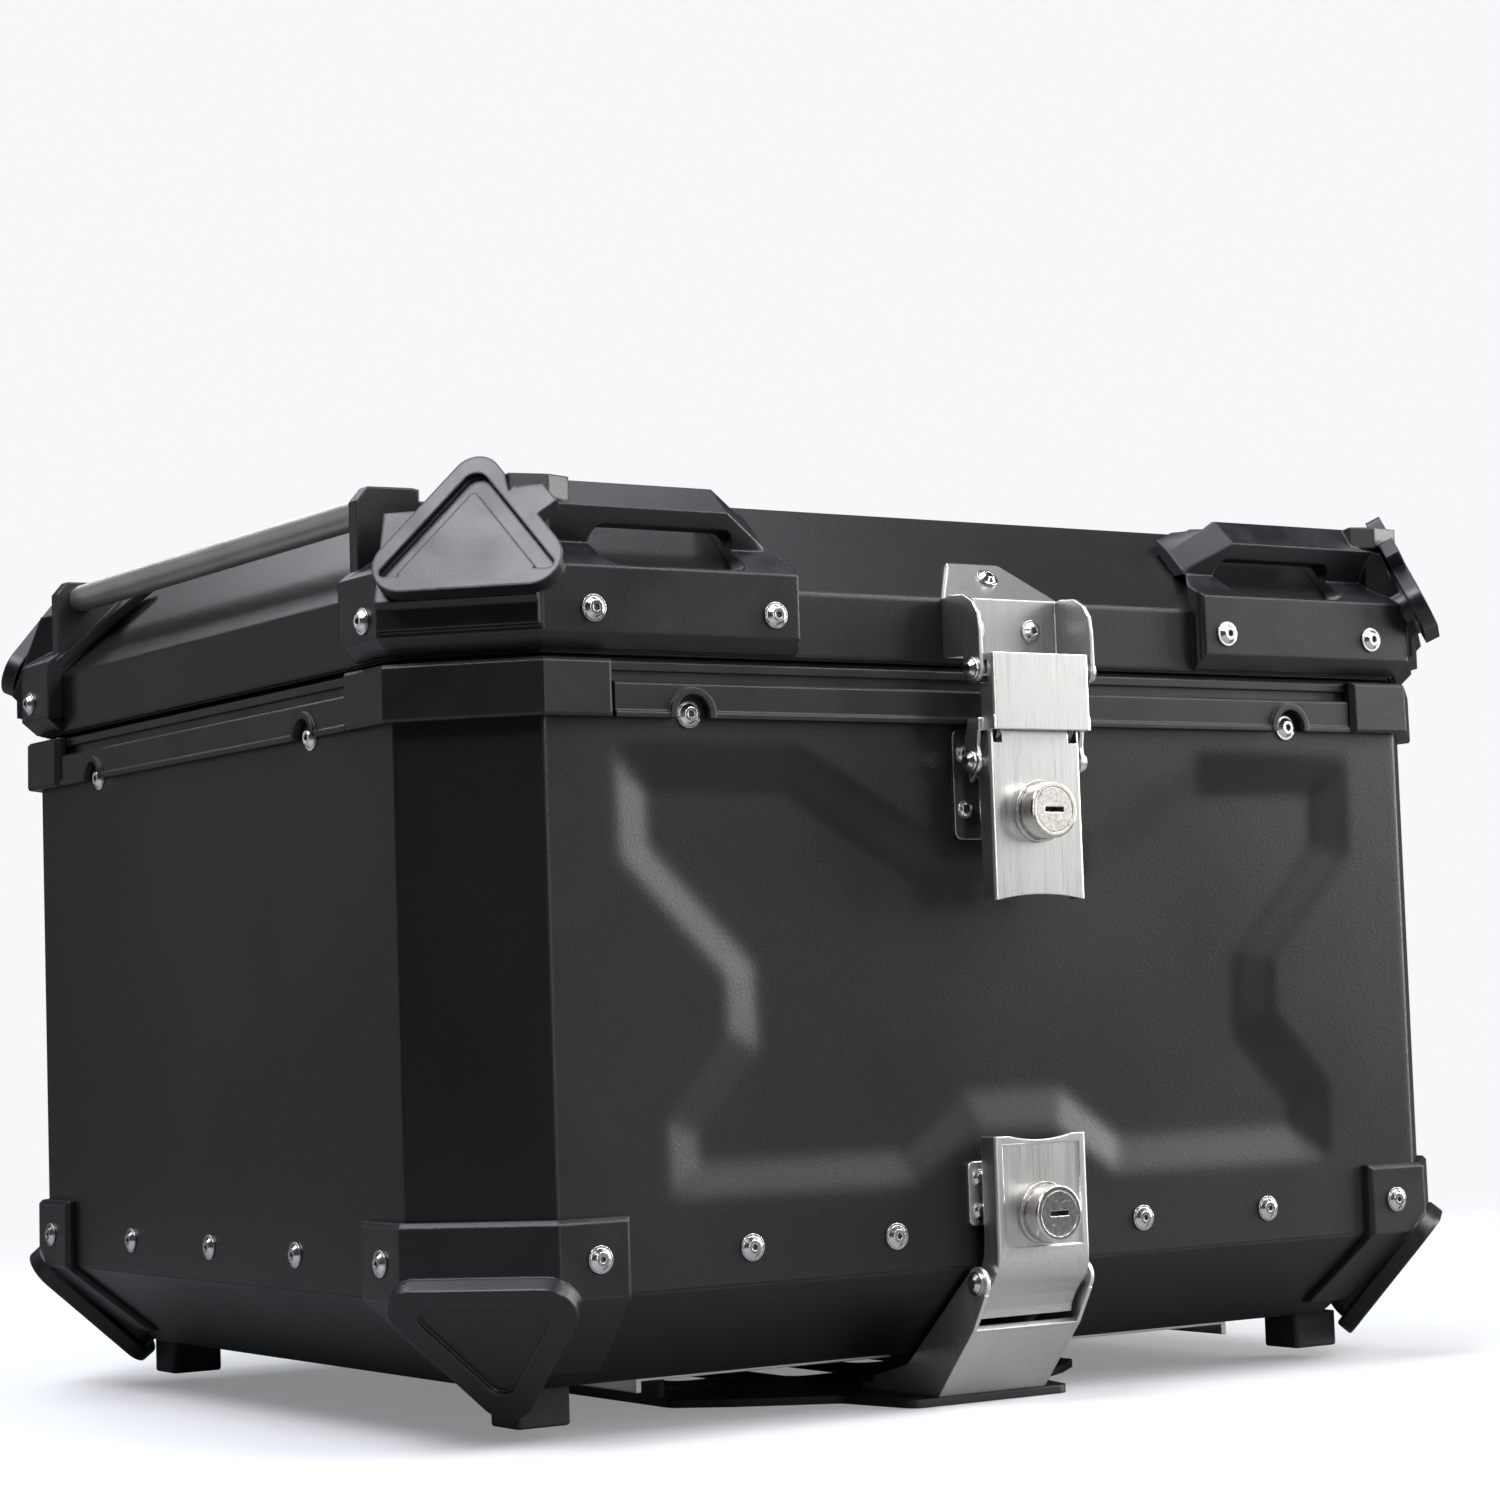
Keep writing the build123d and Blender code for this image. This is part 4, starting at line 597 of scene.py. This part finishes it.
# ------------------------------------------------------------ stage and lights
def stage_sweep():
    t = Tree("stage_floor")
    n = t.noise(3.0, 3.0, 0.6)
    base = t.mix(n, (0.62, 0.63, 0.645), (0.66, 0.665, 0.68))
    lp = t.nt.nodes.new("ShaderNodeLightPath")
    # the floor throws little light back on the case's underside
    t.set(Base_Color=t.mix(lp.outputs["Is Camera Ray"], (0.27, 0.275, 0.285), base), Roughness=0.6)
    em = t.nt.nodes.new("ShaderNodeEmission")
    em.inputs[0].default_value = (0.96, 0.975, 1.0, 1)
    t.nt.links.new(t.math("MULTIPLY", lp.outputs["Is Camera Ray"], 0.24), em.inputs[1])
    add = t.nt.nodes.new("ShaderNodeAddShader")
    t.nt.links.new(t.bsdf.outputs[0], add.inputs[0])
    t.nt.links.new(em.outputs[0], add.inputs[1])
    # far from the case the floor runs into the backdrop's own brightness
    ln = t.nt.nodes.new("ShaderNodeVectorMath")
    ln.operation = "LENGTH"
    t.nt.links.new(t.coord, ln.inputs[0])
    far = t.remap(ln.outputs["Value"], 0.42, 1.25, 0.0, 1.0, True)
    bg = t.nt.nodes.new("ShaderNodeEmission")
    bg.inputs[0].default_value = (0.93, 0.94, 0.955, 1)
    t.nt.links.new(t.math("ADD", t.math("MULTIPLY", lp.outputs["Is Camera Ray"], 0.92), 0.08), bg.inputs[1])
    mixf = t.nt.nodes.new("ShaderNodeMixShader")
    t.nt.links.new(far, mixf.inputs[0])
    t.nt.links.new(add.outputs[0], mixf.inputs[1])
    t.nt.links.new(bg.outputs[0], mixf.inputs[2])
    t.nt.links.new(mixf.outputs[0], t.out.inputs[0])
    r = 7.0
    vs, fs = [], []
    steps = 48
    for i in range(steps + 1):
        a = 2 * math.pi * i / steps
        for rr in (0.0001, 0.6, 1.6, 3.5, r):
            vs.append((rr * math.cos(a), rr * math.sin(a), cad_lo.z - 0.0002))
    for i in range(steps):
        for k in range(4):
            a = i * 5 + k
            fs.append((a, a + 1, a + 6, a + 5))
    o = mesh_object("stage_floor", vs, fs, t.mat)


stage_sweep()


def area(name, pos, target, size, radiance, colour=(1, 1, 1), spread=180):
    l = bpy.data.lights.new(name, "AREA")
    l.shape = "RECTANGLE"
    l.size, l.size_y = size
    l.energy = radiance * math.pi * size[0] * size[1]
    l.color = colour
    l.spread = math.radians(spread)
    o = bpy.data.objects.new(name, l)
    o.location = pos
    o.rotation_mode = "QUATERNION"
    o.rotation_quaternion = (Vector(target) - Vector(pos)).to_track_quat("-Z", "Y")
    bpy.context.scene.collection.objects.link(o)
    return o


C = (0.0, 0.0, 0.17)


def panel(name, azimuth, elevation, dist, size, radiance, colour=(1, 1, 1), target=C):
    """A softbox in the given direction from the case, facing it. Azimuth is from +X towards +Y."""
    a, e = math.radians(azimuth), math.radians(elevation)
    pos = (target[0] + dist * math.cos(a) * math.cos(e), target[1] + dist * math.sin(a) * math.cos(e),
           target[2] + dist * math.sin(e))
    return area(name, pos, target, size, radiance, colour)


REAR = (0.0, -0.2, 0.17)
LEFT = (-0.235, 0.0, 0.17)
panel("rear_face_soft", -46, 17, 2.3, (0.8, 1.2), 1.4, (1.0, 0.995, 0.98), REAR)
panel("rear_side_right", -18, 12, 2.2, (0.75, 1.7), 11.0, (1.0, 0.99, 0.97), REAR)
panel("rear_side_left", -91, 14, 2.4, (0.45, 1.5), 6.0, (1.0, 1.0, 1.0), REAR)
panel("rear_high", -55, 46, 2.2, (1.7, 0.7), 9.5, (0.97, 0.985, 1.0), REAR)
panel("left_face_soft", 122, 8, 2.3, (0.9, 1.4), 0.45, (0.99, 0.995, 1.0), LEFT)
panel("top_soft", 110, 78, 2.1, (2.4, 2.0), 2.6, (0.92, 0.955, 1.0))
panel("lid_left_slope", 86, 42, 2.3, (0.8, 0.6), 9.0, (0.95, 0.965, 1.0), (-0.225, 0.0, 0.31))
panel("left_high", 150, 50, 2.2, (1.1, 0.7), 3.0, (0.93, 0.96, 1.0), LEFT)
panel("corner_high", 205, 54, 2.1, (0.95, 0.85), 14.0, (0.94, 0.94, 1.0), (-0.2, -0.18, 0.31))

world = bpy.data.worlds.new("studio")
bpy.context.scene.world = world
world.use_nodes = True
wn = world.node_tree
wn.nodes.clear()
wo = wn.nodes.new("ShaderNodeOutputWorld")
lp = wn.nodes.new("ShaderNodeLightPath")
b1, b2 = wn.nodes.new("ShaderNodeBackground"), wn.nodes.new("ShaderNodeBackground")
b1.inputs[0].default_value = (0.85, 0.90, 1.0, 1)
b1.inputs[1].default_value = 0.042
b2.inputs[0].default_value = (0.93, 0.94, 0.955, 1)
b2.inputs[1].default_value = 1.0
mx_ = wn.nodes.new("ShaderNodeMixShader")
wn.links.new(lp.outputs["Is Camera Ray"], mx_.inputs[0])
wn.links.new(b1.outputs[0], mx_.inputs[1])
wn.links.new(b2.outputs[0], mx_.inputs[2])
wn.links.new(mx_.outputs[0], wo.inputs[0])

# ---------------------------------------------------------------------- camera
cam_data = bpy.data.cameras.new("camera")
cam = bpy.data.objects.new("camera", cam_data)
bpy.context.scene.collection.objects.link(cam)
right = Vector((0.8387214815287014, -0.5435607319112561, -0.03298495333329615))
down = Vector((0.013711690204431137, 0.08163217483069357, -0.9965682001670275))
fwd = Vector((0.5443879737595585, 0.835390877826967, 0.07591979497767026))
cam.matrix_world = Matrix(((right.x, -down.x, -fwd.x, -0.79061), (right.y, -down.y, -fwd.y, -1.23979),
                           (right.z, -down.z, -fwd.z, 0.14538), (0, 0, 0, 1)))
cam_data.sensor_width = 36.0
cam_data.lens = 3505.06 * 36.0 / 1500.0
cam_data.clip_start, cam_data.clip_end = 0.01, 100.0
bpy.context.scene.camera = cam
vs_ = bpy.context.scene.view_settings
vs_.view_transform = "Standard"
vs_.look = "None"
vs_.exposure = 0.0

bpy.context.view_layer.update()
